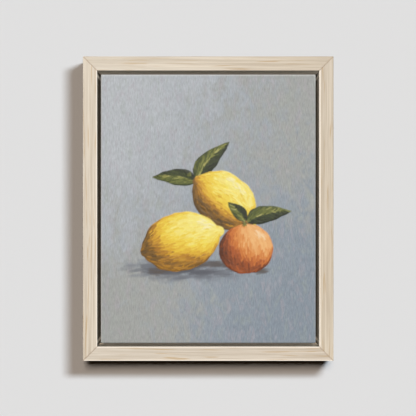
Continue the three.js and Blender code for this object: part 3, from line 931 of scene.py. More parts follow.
def turned_place(over_x, over_z, heading, bend=0.0):
    """How far a place lies along and beside a line with a heading and a bend."""
    cosine, sine = np.cos(heading), np.sin(heading)
    along = over_x * cosine + over_z * sine
    return along, over_z * cosine - over_x * sine - bend * along * along / 2


class PaintTable:
    """The paint on the canvas, cell by cell: its colour times its cover, its cover and its thickness."""

    def __init__(self, half_width, half_height, seed):
        self.random = np.random.default_rng(seed)
        self.x = np.arange(-half_width, half_width + STEP, STEP)
        self.z = np.arange(-half_height, half_height + STEP, STEP)
        self.paint = np.zeros((len(self.z), len(self.x), 4))
        self.relief = np.zeros((len(self.z), len(self.x)))
        self.grid = np.meshgrid(self.x, self.z)

    def cell(self, x, z):
        return int((z - self.z[0]) / STEP + 0.5), int((x - self.x[0]) / STEP + 0.5)

    def base_coat(self, mask, colour, load):
        """An even coat under the strokes, so that no bare ground shows between them."""
        self.paint[..., :3] = self.paint[..., :3] * (1 - mask[..., None]) + colour * mask[..., None]
        self.paint[..., 3] = self.paint[..., 3] * (1 - mask) + mask
        self.relief = self.relief * (1 - 0.6 * mask) + load * mask

    def stroke(self, x, z, heading, length, width, colours,
               mask=None, bend=0.0, load=0.12, strength=1.0, dry=0.35):
        """One loaded stroke: two colours mixed by the hairs, a ragged end and a raised rim."""
        reach = length / 2 + width
        left, right = np.searchsorted(self.x, (x - reach, x + reach))
        low, high = np.searchsorted(self.z, (z - reach, z + reach))
        if right - left < 2 or high - low < 2:
            return
        rows, columns = slice(low, high), slice(left, right)
        over_x, over_z = self.x[columns][None, :] - x, self.z[rows][:, None] - z
        along, aside = turned_place(over_x, over_z, heading, bend)
        place = aside / (width / 2)
        hair = np.interp(place, np.linspace(-1.1, 1.1, 14), self.random.random(14))
        blend = np.interp(place, np.linspace(-1.1, 1.1, 9), self.random.random(9))[..., None]
        run = along / (length / 2)
        taper = np.sqrt(np.clip(1 - np.abs(run) ** 3, 0, 1))
        cover = ease(1.0, 0.72, np.abs(place) / np.maximum(taper, 1e-3) + 0.12 * hair)
        cover = cover * ease(-1.0 + 0.10 * hair, -0.86 + 0.12 * hair, run)
        cover = cover * ease(1.0 - 0.45 * dry * hair, 0.78 - 0.9 * dry * hair, run)
        cover = cover * strength * (1 - dry * 0.5 * hair * ease(-0.2, 1.0, run))
        if mask is not None:
            cover = cover * mask[rows, columns]
        rest = 1 - cover
        colour = colours[0] * (1 - blend) + colours[1] * blend
        patch = self.paint[rows, columns]
        patch[..., :3] = patch[..., :3] * rest[..., None] + colour * cover[..., None]
        patch[..., 3] = patch[..., 3] * rest + cover
        rim = 0.5 * ease(0.55, 0.85, np.abs(place))
        height = load * (0.55 + 0.45 * hair + rim) * (0.8 + 0.4 * ease(0.2, 0.9, run))
        self.relief[rows, columns] = self.relief[rows, columns] * (1 - 0.55 * cover) + height * cover


class Form:
    """A fruit or leaf, with its outline at half_width(along) on both sides of its line from x, z."""

    bend = 0.0
    steepest = 2.0

    def __init__(self, x, z, length, width, tilt):
        self.x, self.z, self.length, self.width = x, z, length, width
        self.tilt = math.radians(tilt)

    def slope(self, along):
        rise = self.half_width(along + 0.4) - self.half_width(along - 0.4)
        return np.clip(rise / 0.8, -self.steepest, self.steepest)

    def rim_at(self, along, sign, inset):
        """A place just inside the outline and the way it runs there."""
        aside = sign * (self.half_width(along) - inset) + self.bend * along * along / 2
        cosine, sine = np.cos(self.tilt), np.sin(self.tilt)
        run = self.tilt + self.bend * along + np.arctan2(sign * self.slope(along), 1.0)
        return self.x + along * cosine - aside * sine, self.z + along * sine + aside * cosine, run


class Fruit(Form):
    """A turned body that lies in the picture's plane, with a small nose at each end."""

    steepest = 2.5

    def __init__(self, x, z, length, width, tilt, nose=(1.5, 0.0), power=(2.0, 0.5)):
        super().__init__(x, z, length, width, tilt)
        self.nose_length, self.nose_width = nose
        self.fullness, self.roundness = power
        self.area = 2.9 * length * width
        self.reach = length + self.nose_length
        self.middle = (x, z)

    def nose_reach(self, along):
        """How long the nose is at each place's own end."""
        return np.where(along > 0, self.nose_length, 0.55 * self.nose_length)

    def half_width(self, along):
        share = np.clip(1 - np.abs(along / self.length) ** self.fullness, 0, 1)
        body = self.width * share ** self.roundness
        past = (np.abs(along) - self.length + 1.5) / self.nose_reach(along)
        nose = self.nose_width * np.clip(1 - past ** 2, 0, 1) ** 0.5
        return np.hypot(body, np.where(along > 0, nose, 0.9 * nose))

    def read(self, x, z):
        """At each place: how far inside the outline it is, its tone, the way strokes run, and its light."""
        along, aside = turned_place(x - self.x, z - self.z, self.tilt)
        cosine, sine = np.cos(self.tilt), np.sin(self.tilt)
        half, slope = self.half_width(along), self.slope(along)
        side = np.clip(aside / np.maximum(half, 1e-3), -1, 1)
        size = np.sqrt(slope ** 2 + 1)
        normal_x = (-slope * cosine - side * sine) / size
        normal_z = (-slope * sine + side * cosine) / size
        light = normal_x * SUN[0] + normal_z * SUN[1] + np.sqrt(1 - side ** 2) / size * SUN[2]
        past = np.abs(along) - (self.length - 1.5 + self.nose_reach(along))
        inside = np.where(past > 0, -np.hypot(past, aside), (half - np.abs(aside)) / size)
        tone = 0.06 + 0.94 * ease(-0.30, 1.04, light) ** 1.15
        tone = tone + 0.22 * ease(0.25, 0.95, -normal_z) * ease(0.2, -0.3, light)
        tone = tone * (1 - 0.45 * ease(self.length - 5, self.length + 3, -along) * (self.nose_width > 0))
        return inside, np.clip(tone, 0, 1), self.tilt + np.arctan2(side * slope, 1.0), light

    def rim(self, share, sign):
        return self.rim_at((2 * share - 1) * (self.length - 0.5), sign, 0.7)


class Leaf(Form):
    """A leaf from its stalk at x, z: a bent rib, with a lit half and a half in shade."""

    def __init__(self, x, z, length, width, tilt, bend):
        super().__init__(x, z, length, width, tilt)
        self.bend = bend
        self.area = 1.25 * length * width
        self.reach = 0.75 * length
        self.middle = (x + 0.5 * length * math.cos(self.tilt), z + 0.5 * length * math.sin(self.tilt))

    def half_width(self, along):
        share = np.clip(along / self.length, 0, 1)
        return self.width * np.sin(np.pi * share ** 0.85) ** 0.8 * (1 - 0.25 * share)

    def read(self, x, z):
        """The same as a fruit gives, with the tone in place of the light."""
        along, aside = turned_place(x - self.x, z - self.z, self.tilt, self.bend)
        half, slope = self.half_width(along), self.slope(along)
        past = np.maximum(-along, along - self.length)
        inside = np.where(past > 0, -np.hypot(past, aside), (half - np.abs(aside)) / np.sqrt(1 + slope ** 2))
        side = aside / np.maximum(half, 1e-3)
        tone = np.where(aside > 0, 0.62 - 0.25 * side, 0.26 + 0.30 * side) + 0.16 * along / self.length
        tone = tone + 0.07 * np.sin(along * 1.25 - np.abs(aside) * 0.9)
        tone = tone + 0.42 * ease(0.75, 0.2, np.abs(aside)) * ease(self.length, 0.7 * self.length, along)
        fan = np.sign(aside) * 0.42 * ease(0.3, 1.6, np.abs(aside))
        return inside, np.clip(tone, 0, 1), self.tilt + self.bend * along + fan, tone

    def rim(self, share, sign):
        return self.rim_at(share * self.length, sign, 0.5)


def paint_form(table, form, palette, passes, neighbours=(), glint=None):
    """A fruit or leaf: broad strokes first, then finer ones, dark accents on its outline and glints.

    neighbours holds forms that darken it, each with how deep and how far."""
    random = table.random
    x, z = table.grid
    inside, tone, heading, light = form.read(x, z)
    wobble = 0.5 * np.sin(x * 0.31 + 2.0 * np.sin(z * 0.17)) * np.sin(z * 0.27 + x * 0.11)
    mask = ease(-0.4, 0.5, inside + wobble)
    for other, depth, reach in neighbours:
        tone = tone * (1 - depth * ease(-reach, 0.0, other.read(x, z)[0]))
    table.base_coat(mask, ramp(palette, tone - 0.05), 0.08)
    for length, width, cover, spread, load, turn in passes:
        left = int(form.area / (length * width) * cover)
        while left > 0:
            at_x = form.middle[0] + random.uniform(-form.reach, form.reach)
            at_z = form.middle[1] + random.uniform(-form.reach, form.reach)
            cell = table.cell(at_x, at_z)
            if inside[cell] < width * 0.1:
                continue
            left -= 1
            here = tone[cell] + random.normal(0, spread)
            hue = 1 + random.normal(0, 0.035) * np.array([0.4, 1.0, 1.8])
            colours = [ramp(palette, here) * hue, ramp(palette, here + random.normal(0, 1.3 * spread)) * hue]
            table.stroke(
                at_x, at_z, heading[cell] + random.normal(0, turn), length * random.uniform(0.7, 1.3),
                width * random.uniform(0.75, 1.25), colours, mask, bend=random.normal(0, 0.006), load=load,
            )
    for _ in range(int(1.1 * math.sqrt(form.area))):
        at_x, at_z, run = form.rim(random.uniform(0.03, 0.97), random.choice([-1, 1]))
        here = tone[table.cell(at_x, at_z)] - 0.16 + random.normal(0, 0.10)
        colours = [ramp(palette, here), ramp(palette, here + random.normal(0, 0.1))]
        table.stroke(at_x, at_z, run, random.uniform(5, 11), random.uniform(0.8, 1.5), colours, mask,
                     load=0.16, strength=0.75)
    if glint is None:
        return
    lights = np.argwhere((light > GLINT_LIGHT) & (inside > 3))
    for row, column in lights[random.integers(0, len(lights), GLINTS)]:
        colours = [shade(*glint), shade(*glint) * 0.9]
        table.stroke(table.x[column], table.z[row], heading[row, column] + random.normal(0, 0.2),
                     random.uniform(4, 8), random.uniform(1.0, 2.0), colours, mask, load=0.36, strength=0.6)


def paint_cast_shadow(table):
    """What the fruit throws on the table, down to the left, and the dark line under it."""
    random = table.random
    for _ in range(SHADOW_STROKES):
        x, z = random.uniform(-92, 62), random.uniform(-74, -38)
        deep = ease(1.0, 0.15, np.hypot((x + 20 + 0.3 * (z + 58)) / 74, (z + 57) / 14))
        if random.random() > deep:
            continue
        here = 1 - deep + random.normal(0, 0.14)
        colours = [ramp(CAST, here), ramp(CAST, here + random.normal(0, 0.25))]
        table.stroke(x, z, random.normal(0.06, 0.12), random.uniform(12, 26), random.uniform(3, 6.5), colours,
                     bend=random.normal(0, 0.004), load=0.05, strength=0.15 + 0.4 * deep)
    for _ in range(FOOT_STROKES):
        x = random.uniform(-52, 54)
        z = -56 + 4 * math.cos(x / 20) + random.normal(0, 1.6)
        colours = [ramp(CAST, random.normal(0.05, 0.1)), shade(*FOOT_SHADE)]
        table.stroke(x, z, random.normal(0.03, 0.1), random.uniform(8, 16), random.uniform(1.6, 3.2), colours,
                     load=0.05, strength=0.5)


def paint_stalk(table, x, z, ways, length):
    """Short strokes out from where a fruit was cut from its twig."""
    for way in ways:
        heading = math.radians(way)
        colours = [ramp(LEAF, table.random.uniform(0.1, 0.6)), ramp(LEAF, 0.8)]
        table.stroke(
            x + 0.35 * length * math.cos(heading), z + 0.35 * length * math.sin(heading), heading, length,
            table.random.uniform(1.3, 1.9), colours, load=0.25, strength=0.9, dry=0.2,
        )


def paint_picture():
    table = PaintTable(CANVAS_HALF[0] / MM, CANVAS_HALF[1] / MM, seed=11)
    front_lemon = Fruit(-26, -31, 37, 27.0, 15, (7, 5.5), LEMON_POWER)
    back_lemon = Fruit(15, 8, 33, 25.0, -36, (6.5, 5.0), LEMON_POWER)
    tangerine = Fruit(36, -38, 23.5, 25.5, 96)
    paint_cast_shadow(table)
    paint_form(table, Leaf(-10, 27, 44, 10.5, 72, -0.018), LEAF, LEAF_PASSES)
    paint_form(table, Leaf(-12, 25, 38, 9.5, 152, 0.020), LEAF, LEAF_PASSES)
    paint_form(table, back_lemon, LEMON, FRUIT_PASSES,
               [(front_lemon, 0.62, 16), (tangerine, 0.35, 12)], LEMON_GLINT)
    paint_form(table, Leaf(37, -13, 40, 10.0, 38, -0.022), LEAF, LEAF_PASSES)
    paint_form(table, tangerine, TANGERINE, FRUIT_PASSES, [(front_lemon, 0.5, 10)], TANGERINE_GLINT)
    paint_form(table, Leaf(35, -12, 24, 7.0, 118, 0.02), LEAF, LEAF_PASSES)
    paint_stalk(table, 34.2, -14.6, (20, 95, 160, 215, 260, 325), 3.4)
    paint_form(table, front_lemon, LEMON, FRUIT_PASSES, (), LEMON_GLINT)
    paint_stalk(table, -16.4, 31.2, (100, 128, 150, 175), 5.0)
    return table


# Canvas

# The cloth's grid is fine over the picture, coarse on the plain ground and closest round its edge.
PICTURE_X = (-70 * MM, 77 * MM)
PICTURE_Z = (-67 * MM, 71 * MM)
FINE_STEP = 0.62 * MM
COARSE_STEP = 2.5 * MM
RIM_STEPS = 5

# How far in from the outline the rings behind the bars lie: closest where the staples' crowns press on them
STRIP_INSETS = [10 * MM, 17 * MM, 19 * MM, 21 * MM, CLOTH_MARGIN]

# How deep a staple presses the cloth, and how far its dent spreads along the crown and across it
STAPLE_DENT = 0.28 * MM
DENT_ALONG = 5 * MM
DENT_ACROSS = 3 * MM

# The last of the cloth's rings on its rounded back edge, and the smallest radius of a ring's corner
BACK_EDGE_RING = 4
LEAST_RADIUS = 0.15 * MM

# How the cut edge waves: how far, how often round the canvas, and where each wave starts
CUT_WAVES = [(0.35 * MM, 61, 0), (0.25 * MM, 143, 1)]

# The map for baking: where the front and the inside start on it, across and up, and how much of it the
# front fills upward and the inside across.
MAP_FRONT = (0.005, 0.005, 0.77)
MAP_INSIDE = (0.64, 0.01, 0.35)

# The strips past the edges lie above them, one for each side of the cloth, all round the canvas in one go.
# A face over their start runs a little past one turn, but not past the last of these numbers.
MAP_STRIPS = (0.80, 0.90)
MAP_STRIP_START = 0.01
MAP_STRIP_LENGTH = 0.97
MAP_STRIP_HEIGHT = 0.065
MOST_TURNED = 1.02


def grid_lines(half, fine):
    """Where lines cross the canvas: close together on the picture, closest over the rounded edge."""
    flat = half - CLOTH_CORNER_RADIUS
    stops = [(-flat, COARSE_STEP), (fine[0], FINE_STEP), (fine[1], COARSE_STEP)]
    ends = [fine[0], fine[1], flat]
    lines = []
    for (start, step), end in zip(stops, ends):
        count = math.ceil((end - start) / step)
        lines += [start + (end - start) * i / count for i in range(count)]
    turns = [math.radians(90 - 90 * i / RIM_STEPS) for i in range(RIM_STEPS + 1)]
    rim = [CLOTH_EDGE_RADIUS * (1 - math.sin(turn)) for turn in turns]
    return np.array([-half + d for d in rim] + lines + [flat] + [half - d for d in reversed(rim)])


def cloth_path():
    """The cloth's section past the front's outline: (inset, depth, length past the outline) of each ring."""
    back_round = CLOTH_BACK_RADIUS
    inner = CLOTH_INNER_RADIUS
    front_side = CLOTH_FRONT + CLOTH_EDGE_RADIUS
    outer = [(0, front_side + 6 * MM), (0, CLOTH_BACK - back_round)]
    outer += [(back_round * (1 - math.cos(turn)), CLOTH_BACK - back_round * (1 - math.sin(turn)))
              for turn in (math.radians(45), math.radians(90))]
    outer += [(inset, CLOTH_BACK) for inset in STRIP_INSETS]
    inside = CLOTH_BACK - CLOTH_THICKNESS
    wall = CLOTH_THICKNESS
    turned_in = [(CLOTH_MARGIN, inside), (wall + inner, inside), (wall, inside - inner),
                 (wall, CLOTH_FRONT + wall + inner), (wall + inner, CLOTH_FRONT + wall)]
    lengths = []
    length, last = 0.0, (0, front_side)
    for point in outer:
        length += math.dist(point, last)
        last = point
        lengths.append(length)
    full = lengths[-1]
    lengths += [full, full - CLOTH_MARGIN + wall, full - CLOTH_MARGIN, 2 * MM, 0]
    return [(*point, length) for point, length in zip(outer + turned_in, lengths)], len(outer)


def cloth_grid(lines_x, lines_z, rings):
    """A bare grid with rings grown from its outline, each vertex marked with its place in it."""
    bm = bmesh.new()
    columns, rows = len(lines_x) - 1, len(lines_z) - 1
    bmesh.ops.create_grid(bm, x_segments=columns, y_segments=rows, size=1.0)
    column = bm.verts.layers.int.new("column")
    row = bm.verts.layers.int.new("row")
    ring = bm.verts.layers.int.new("ring")
    for vert in bm.verts:
        vert[column] = round((vert.co.x + 1) / 2 * columns)
        vert[row] = round((vert.co.y + 1) / 2 * rows)
    loop = [edge for edge in bm.edges if edge.is_boundary]
    for number in range(1, rings + 1):
        grown = bmesh.ops.extrude_edge_only(bm, edges=loop)["geom"]
        loop = [made for made in grown if isinstance(made, bmesh.types.BMEdge)]
        for vert in (made for made in grown if isinstance(made, bmesh.types.BMVert)):
            vert[ring] = number
    bmesh.ops.holes_fill(bm, edges=loop, sides=0)
    return bm


def read_ints(items, name):
    values = np.zeros(len(items), dtype=np.int32)
    items.foreach_get(name, values)
    return values


def take_ints(mesh, name):
    """The whole numbers of an attribute, which is then removed."""
    values = read_ints(mesh.attributes[name].data, "value")
    mesh.attributes.remove(mesh.attributes[name])
    return values


def write_attribute(mesh, name, kind, part, values):
    mesh.attributes.new(name, kind, "POINT").data.foreach_set(part, values.astype(np.float32).ravel())


def soften(field):
    """Each cell's mean with its eight neighbours, so that a vertex reads all the paint round it."""
    padded = np.pad(field, [(1, 1), (1, 1)] + [(0, 0)] * (field.ndim - 2), mode="edge")
    rows, columns = field.shape[:2]
    return sum(padded[i:i + rows, j:j + columns] for i in range(3) for j in range(3)) / 9


def staple_pull(x, z):
    """How much the cloth is pressed down at each place of its margin: 1 under a staple's crown."""
    pull = np.zeros(len(x))
    for turn, side in enumerate(SIDES):
        for staple in staples_of(turn, side):
            centre = middle_of(staple) - CANVAS_MIDDLE
            from_x, from_z = x - centre.x, z - centre.z
            along, across = (from_z, from_x) if turn % 2 else (from_x, from_z)
            pull += np.exp(-(along / DENT_ALONG) ** 2 - (across / DENT_ACROSS) ** 2)
    return pull


def round_corners(flat_x, flat_z):
    """Turns the squares of the grid at the canvas's corners into quarter discs. Gives how far each place is
    into the rim across and up, how far out it is, and which way outward is there."""
    radius = CLOTH_CORNER_RADIUS
    share_x = np.clip((np.abs(flat_x) - CANVAS_HALF[0] + radius) / radius, 0, 1)
    share_z = np.clip((np.abs(flat_z) - CANVAS_HALF[1] + radius) / radius, 0, 1)
    corner = (share_x > 0) & (share_z > 0)
    out = np.maximum(share_x, share_z)
    turn = math.pi / 4 * np.minimum(share_x, share_z) / np.maximum(out, 1e-9)
    turn = np.where(share_x >= share_z, turn, math.pi / 2 - turn)
    outward_x = np.where(corner, np.cos(turn), np.where(share_x > 0, 1.0, 0.0)) * np.sign(flat_x)
    outward_z = np.where(corner, np.sin(turn), np.where(share_z > 0, 1.0, 0.0)) * np.sign(flat_z)
    return share_x, share_z, out, outward_x, outward_z


def read_paint(table, x, z):
    """The paint and its thickness at each place on the front."""
    columns = np.clip(((x / MM - table.x[0]) / STEP + 0.5).astype(int), 0, len(table.x) - 1)
    rows = np.clip(((z / MM - table.z[0]) / STEP + 0.5).astype(int), 0, len(table.z) - 1)
    return soften(table.paint)[rows, columns], soften(table.relief)[rows, columns]


def make_canvas():
    """The whole cloth as one closed shell: front, rounded edges, sides, strip behind the bars and inside."""
    half_x, half_z = CANVAS_HALF
    radius = CLOTH_CORNER_RADIUS
    lines_x, lines_z = grid_lines(half_x, PICTURE_X), grid_lines(half_z, PICTURE_Z)
    path, outer_rings = cloth_path()
    mesh = mesh_of("painted_cloth", cloth_grid(lines_x, lines_z, len(path)))
    column, row, ring = (take_ints(mesh, name) for name in ("column", "row", "ring"))
    flat_x, flat_z = lines_x[column], lines_z[row]
    front = ring == 0
    share_x, share_z, out, outward_x, outward_z = round_corners(flat_x, flat_z)

    # Every ring lies inside the outline by its inset, and the cut edge waves.
    inset, depth, length = np.array([(0, CLOTH_FRONT + CLOTH_EDGE_RADIUS, 0)] + path).T[:, ring]
    around = np.arctan2(flat_z, flat_x)
    at_cut = (ring == outer_rings) | (ring == outer_rings + 1)
    inset = inset + at_cut * sum(far * np.sin(count * around + start) for far, count, start in CUT_WAVES)
    left = np.maximum(radius - inset, LEAST_RADIUS)
    reach_x, reach_z = half_x - inset - left, half_z - inset - left
    x = np.where(share_x > 0, np.sign(flat_x) * reach_x, flat_x * reach_x / (half_x - radius))
    z = np.where(share_z > 0, np.sign(flat_z) * reach_z, flat_z * reach_z / (half_z - radius))
    grown = np.where(front, radius * out, left)
    x, z = x + outward_x * grown, z + outward_z * grown

    # The front's edge is rounded, the staples press the strip down, and the paint stands on the front.
    past_flat = np.maximum(CLOTH_EDGE_RADIUS - radius * (1 - out), 0)
    rounding = CLOTH_EDGE_RADIUS - np.sqrt(np.maximum(CLOTH_EDGE_RADIUS ** 2 - past_flat ** 2, 0))
    y = np.where(front, CLOTH_FRONT + rounding, depth)
    margin = (ring > BACK_EDGE_RING) & (ring <= outer_rings + 1)
    y = y - margin * STAPLE_DENT * np.minimum(staple_pull(x, z), 1)
    paint, relief = read_paint(paint_picture(), x, z)
    y = y - relief * front * MM
    position = np.stack([x + CANVAS_MIDDLE.x, y, z + CANVAS_MIDDLE.z], axis=1)
    mesh.vertices.foreach_set("co", position.astype(np.float32).ravel())

    to_outline = np.minimum(half_x - np.abs(x), half_z - np.abs(z))
    edge = np.where(front, -to_outline, length) / MM
    cloth_x = np.where(front, x, flat_x + outward_x * length)
    cloth_z = np.where(front, z, flat_z + outward_z * length)
    write_attribute(mesh, "picture", "FLOAT_COLOR", "color", paint * front[:, None])
    write_attribute(mesh, "cloth", "FLOAT_VECTOR", "vector", np.stack([cloth_x, cloth_z, 0 * x], axis=1))
    write_attribute(mesh, "edge", "FLOAT", "value", edge)
    unfold(mesh, x, z, ring, length, flat_x, flat_z, outer_rings)

    mesh.materials.append(PAINTED_CANVAS)
    mesh.materials.append(RAW_COTTON)
    bm = bmesh.new()
    bm.from_mesh(mesh)
    bmesh.ops.recalc_face_normals(bm, faces=bm.faces)
    bm.to_mesh(mesh)
    bm.free()
    return place_piece("painted_cloth", mesh, "painted_cloth", ["canvas_cloth"], smooth_angle=60)


def unfold(mesh, x, z, ring, length, flat_x, flat_z, outer_rings):
    """Lays the cloth flat for baking: the front over most of the map, the inside beside it, strips above."""
    half_x, half_z = CANVAS_HALF
    loops = read_ints(mesh.loops, "vertex_index")
    starts = read_ints(mesh.polygons, "loop_start")
    counts = read_ints(mesh.polygons, "loop_total")
    highest = np.maximum.reduceat(ring[loops], starts)
    lowest = np.minimum.reduceat(ring[loops], starts)
    mesh.polygons.foreach_set("material_index", (highest > outer_rings).astype(np.int32))

    # How far round the outline, clockwise from the top left, as a share. A face over the start runs past 1.
    to_top, to_right = half_z - flat_z, half_x - flat_x
    nearest = np.argmin(np.stack([to_top, to_right, 2 * half_z - to_top, 2 * half_x - to_right]), axis=0)
    around = np.choose(nearest, [
        half_x + flat_x,
        2 * half_x + to_top,
        2 * half_x + 2 * half_z + to_right,
        4 * half_x + 3 * half_z + flat_z,
    ])
    turned = (around / (4 * (half_x + half_z)))[loops]
    low_turn = np.repeat(np.minimum.reduceat(turned, starts), counts)
    high_turn = np.repeat(np.maximum.reduceat(turned, starts), counts)
    turned = np.where((high_turn - low_turn > 0.5) & (turned < 0.5), turned + 1, turned)

    is_front = np.repeat(highest == 0, counts)
    is_inside = np.repeat(lowest == ring.max(), counts)
    is_outer = ~is_front & np.repeat(highest <= outer_rings, counts)
    u = MAP_STRIP_START + MAP_STRIP_LENGTH * turned / MOST_TURNED
    v = np.where(is_outer, *MAP_STRIPS) + MAP_STRIP_HEIGHT * length[loops] / length.max()
    flat_parts = ((is_front, MAP_FRONT, half_z), (is_inside, MAP_INSIDE, half_x))
    for chosen, (start_u, start_v, share), half in flat_parts:
        scale = share / (2 * half)
        u = np.where(chosen, start_u + (x[loops] + half_x) * scale, u)
        v = np.where(chosen, start_v + (z[loops] + half_z) * scale, v)
    layer = mesh.uv_layers.new(name="OFBake")
    layer.data.foreach_set("uv", np.stack([u, v], axis=1).astype(np.float32).ravel())


# In millimetres, as the edge attribute is: so far past the front that the cloth is bare primer
FAR_PAST_EDGE = 30


def make_corner_fold(number, way_x, way_z):
    """The spare cloth of one back corner, folded flat on the turned-in strip along the diagonal, with painted
    shade along its creases.
    """
    short, sunk, wave, fold_shade_width = 0.5 * MM, 0.05 * MM, 0.06 * MM, 1.4 * MM
    right = CANVAS_HALF[0] - CLOTH_EDGE_RADIUS
    top = CANVAS_HALF[1] - CLOTH_EDGE_RADIUS
    leg = CLOTH_MARGIN - CLOTH_EDGE_RADIUS - short
    outline = [(right, top), (right - leg, top), (right - leg, top - leg)]
    bm = bmesh.new()
    cloth = bm.verts.layers.float_vector.new("cloth")
    edge = bm.verts.layers.float.new("edge")
    fold_shade = bm.verts.layers.float.new("fold_shade")
    corners = [bm.verts.new((way_x * x + CANVAS_MIDDLE.x, CLOTH_BACK, way_z * z + CANVAS_MIDDLE.z))
               for x, z in outline]
    bm.faces.new(corners)
    bmesh.ops.subdivide_edges(bm, edges=bm.edges, cuts=9, use_grid_fill=True)
    bmesh.ops.solidify(bm, geom=list(bm.faces), thickness=CLOTH_THICKNESS)
    bmesh.ops.recalc_face_normals(bm, faces=bm.faces)
    low = min(vert.co.y for vert in bm.verts)
    for vert in bm.verts:
        lift = (vert.co.y - low) / CLOTH_THICKNESS
        vert.co.y = CLOTH_BACK - sunk + lift * (CLOTH_THICKNESS - 2 * sunk)
        place = vert.co - CANVAS_MIDDLE
        vert.co.y += wave * lift * math.sin(place.x * 900) * math.sin(place.z * 700)
        vert[cloth] = Vector((0.7 * (place.x + place.z), 0.7 * (place.x - place.z), 0))
        vert[edge] = FAR_PAST_EDGE
        # Painted shade, darkest at the fold's creased edges
        from_right, from_top = right - way_x * place.x, top - way_z * place.z
        to_fold = min((from_right - from_top) / math.sqrt(2), leg - from_right)
        vert[fold_shade] = max(0.0, 1 - to_fold / fold_shade_width)
    ease_edges(bm, edges_over(bm, 50), FOLD_EASE)
    return new_piece(f"corner_fold_{number}", bm, [PAINTED_CANVAS], "painted_cloth", [])


canvas = make_canvas()
CORNERS = [(-1, 1), (1, 1), (1, -1), (-1, -1)]
folds = [make_corner_fold(number, *ways) for number, ways in enumerate(CORNERS, start=1)]


# Wall, lights and camera

WALL_HALF = 3.0
WALL_COLOUR = (0.80, 0.80, 0.80, 1)
SOFT_WHITE = (1.0, 0.98, 0.95)


def wall_material():
    """Matt pale paint, clear from behind so that other views see the back of the frame."""
    material, shader = new_material("wall", roughness=1.0, specular=0.0)
    nodes = finished(material, shader, WALL_COLOUR).node_tree.nodes
    behind = shader.node("ShaderNodeNewGeometry", {}, "Backfacing")
    clear = shader.node("ShaderNodeBsdfTransparent", {})
    mixed = shader.node("ShaderNodeMixShader", {0: behind, 1: nodes["Principled BSDF"].outputs[0], 2: clear})
    shader.set(nodes["Material Output"].inputs["Surface"], mixed)
    return material


def make_wall():
    bm = bmesh.new()
    facing_front = Matrix.Rotation(math.pi / 2, 4, "X")
    bmesh.ops.create_grid(bm, x_segments=1, y_segments=1, size=WALL_HALF, matrix=facing_front)
    mesh = mesh_of("wall", bm)
    mesh.materials.append(wall_material())
    wall = put_in_scene("wall", mesh)
    wall.visible_glossy = False
    wall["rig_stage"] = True


def new_light(name, kind, strength, colour):
    lamp = bpy.data.lights.new(name, kind)
    lamp.energy = strength
    lamp.color = colour
    return lamp, put_in_scene(name, lamp)


def make_window(place, width, height, strength, colour):
    """A near oval light that faces the wall. It grows with distance as fast as it thins out, so that the
    wall is lit evenly and only the shadow spreads."""
    lamp, light = new_light("window", "AREA", strength, colour)
    lamp.shape = "ELLIPSE"
    lamp.size = width
    lamp.size_y = height
    lamp.use_nodes = True
    shader = Shader(lamp.node_tree)
    distance = shader.node("ShaderNodeLightPath", {}, "Ray Length")
    shader.set(lamp.node_tree.nodes["Emission"].inputs["Strength"], shader.math("POWER", distance, 4.0))
    light.location = place
    light.rotation_euler = (math.pi / 2, 0, 0)
    light.visible_camera = False


def make_sun(name, towards, width, strength, colour, lit=None, shading=None):
    """A far light of a given width in degrees, which may be kept to some pieces, shaded by some alone."""
    lamp, light = new_light(name, "SUN", strength, colour)
    lamp.angle = math.radians(width)
    light.rotation_mode = "QUATERNION"
    light.rotation_quaternion = Vector(towards).to_track_quat("Z", "Y")
    if lit is not None:
        light.light_linking.receiver_collection = lit
        light.light_linking.blocker_collection = shading


make_wall()

# The softboxes and the room's light reach only the pieces, and no piece throws light on another or the wall.
picture_pieces = bpy.data.collections.new("picture_pieces")
rails = bpy.data.collections.new("rails")
nothing = bpy.data.collections.new("nothing")
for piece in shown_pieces():
    piece.visible_diffuse = False
    picture_pieces.objects.link(piece)
    if piece.name.startswith("rail_"):
        rails.objects.link(piece)

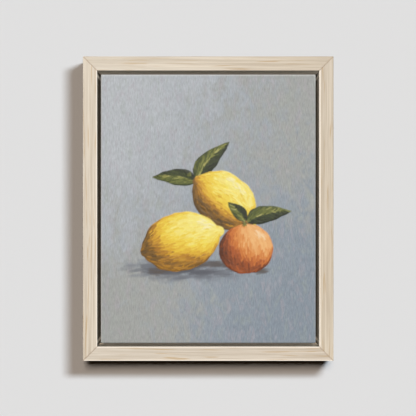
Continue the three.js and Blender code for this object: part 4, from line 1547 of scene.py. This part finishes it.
window_place = FRAME_MIDDLE + Vector((0.435, -0.982, 0.409))
make_window(window_place, 0.382, 0.225, 6.66, (0.84, 0.925, 1.0))
make_sun("ceiling", (0.0, -1, 0.325), 15.0, 1.25, (1.0, 0.852, 0.723))
make_sun("left_softbox", (-1, -0.42, 0.25), 30.0, 0.5, SOFT_WHITE, picture_pieces, picture_pieces)
make_sun("rear_softbox", (-0.5, 1, 0.7), 30.0, 3.2, SOFT_WHITE, picture_pieces, picture_pieces)
make_sun("low_softbox", (0.1, -0.25, -1), 40.0, 0.25, (1.0, 0.96, 0.9), picture_pieces, picture_pieces)
make_sun("room_bounce", (0, -1, 0), 168.0, 0.6, SOFT_WHITE, rails, nothing)

# The room: pale grey past the wall, hardly any light of its own, and a pale back that the metal mirrors
world = bpy.data.worlds.new("room")
world.use_nodes = True
bpy.context.scene.world = world
room = Shader(world.node_tree)
seen = room.node("ShaderNodeBackground", {"Color": (1, 1, 1, 1), "Strength": 0.745})
given = room.node("ShaderNodeBackground", {"Color": (1, 0.55, 0.2, 1), "Strength": 0.008})
behind = room.node("ShaderNodeBackground", {"Color": (*SOFT_WHITE, 1), "Strength": 0.55})
camera_ray = room.node("ShaderNodeLightPath", {}, "Is Camera Ray")
mirrored = room.node("ShaderNodeLightPath", {}, "Is Glossy Ray")
backwards = room.between(room.parts(room.node("ShaderNodeTexCoord", {}, "Generated"))[1], 0.0, 0.35)
given = room.node("ShaderNodeMixShader", {0: room.times(mirrored, backwards), 1: given, 2: behind})
room.set(world.node_tree.nodes["World Output"].inputs["Surface"],
         room.node("ShaderNodeMixShader", {0: camera_ray, 1: given, 2: seen}))

pixel = VIEW_WIDTH / PHOTO_SIDE
lens = bpy.data.cameras.new("camera")
lens.lens = LENS
lens.sensor_width = SENSOR
camera = put_in_scene("camera", lens)
camera.location = (
    FRAME_MIDDLE.x - (FRAME_MIDDLE_PX[0] - PHOTO_SIDE / 2) * pixel,
    FRAME_FRONT - VIEW_WIDTH * LENS / SENSOR,
    FRAME_MIDDLE.z + (FRAME_MIDDLE_PX[1] - PHOTO_SIDE / 2) * pixel,
)
camera.rotation_euler = (math.pi / 2, 0, 0)
bpy.context.scene.camera = camera
bpy.context.scene.view_settings.view_transform = "Standard"
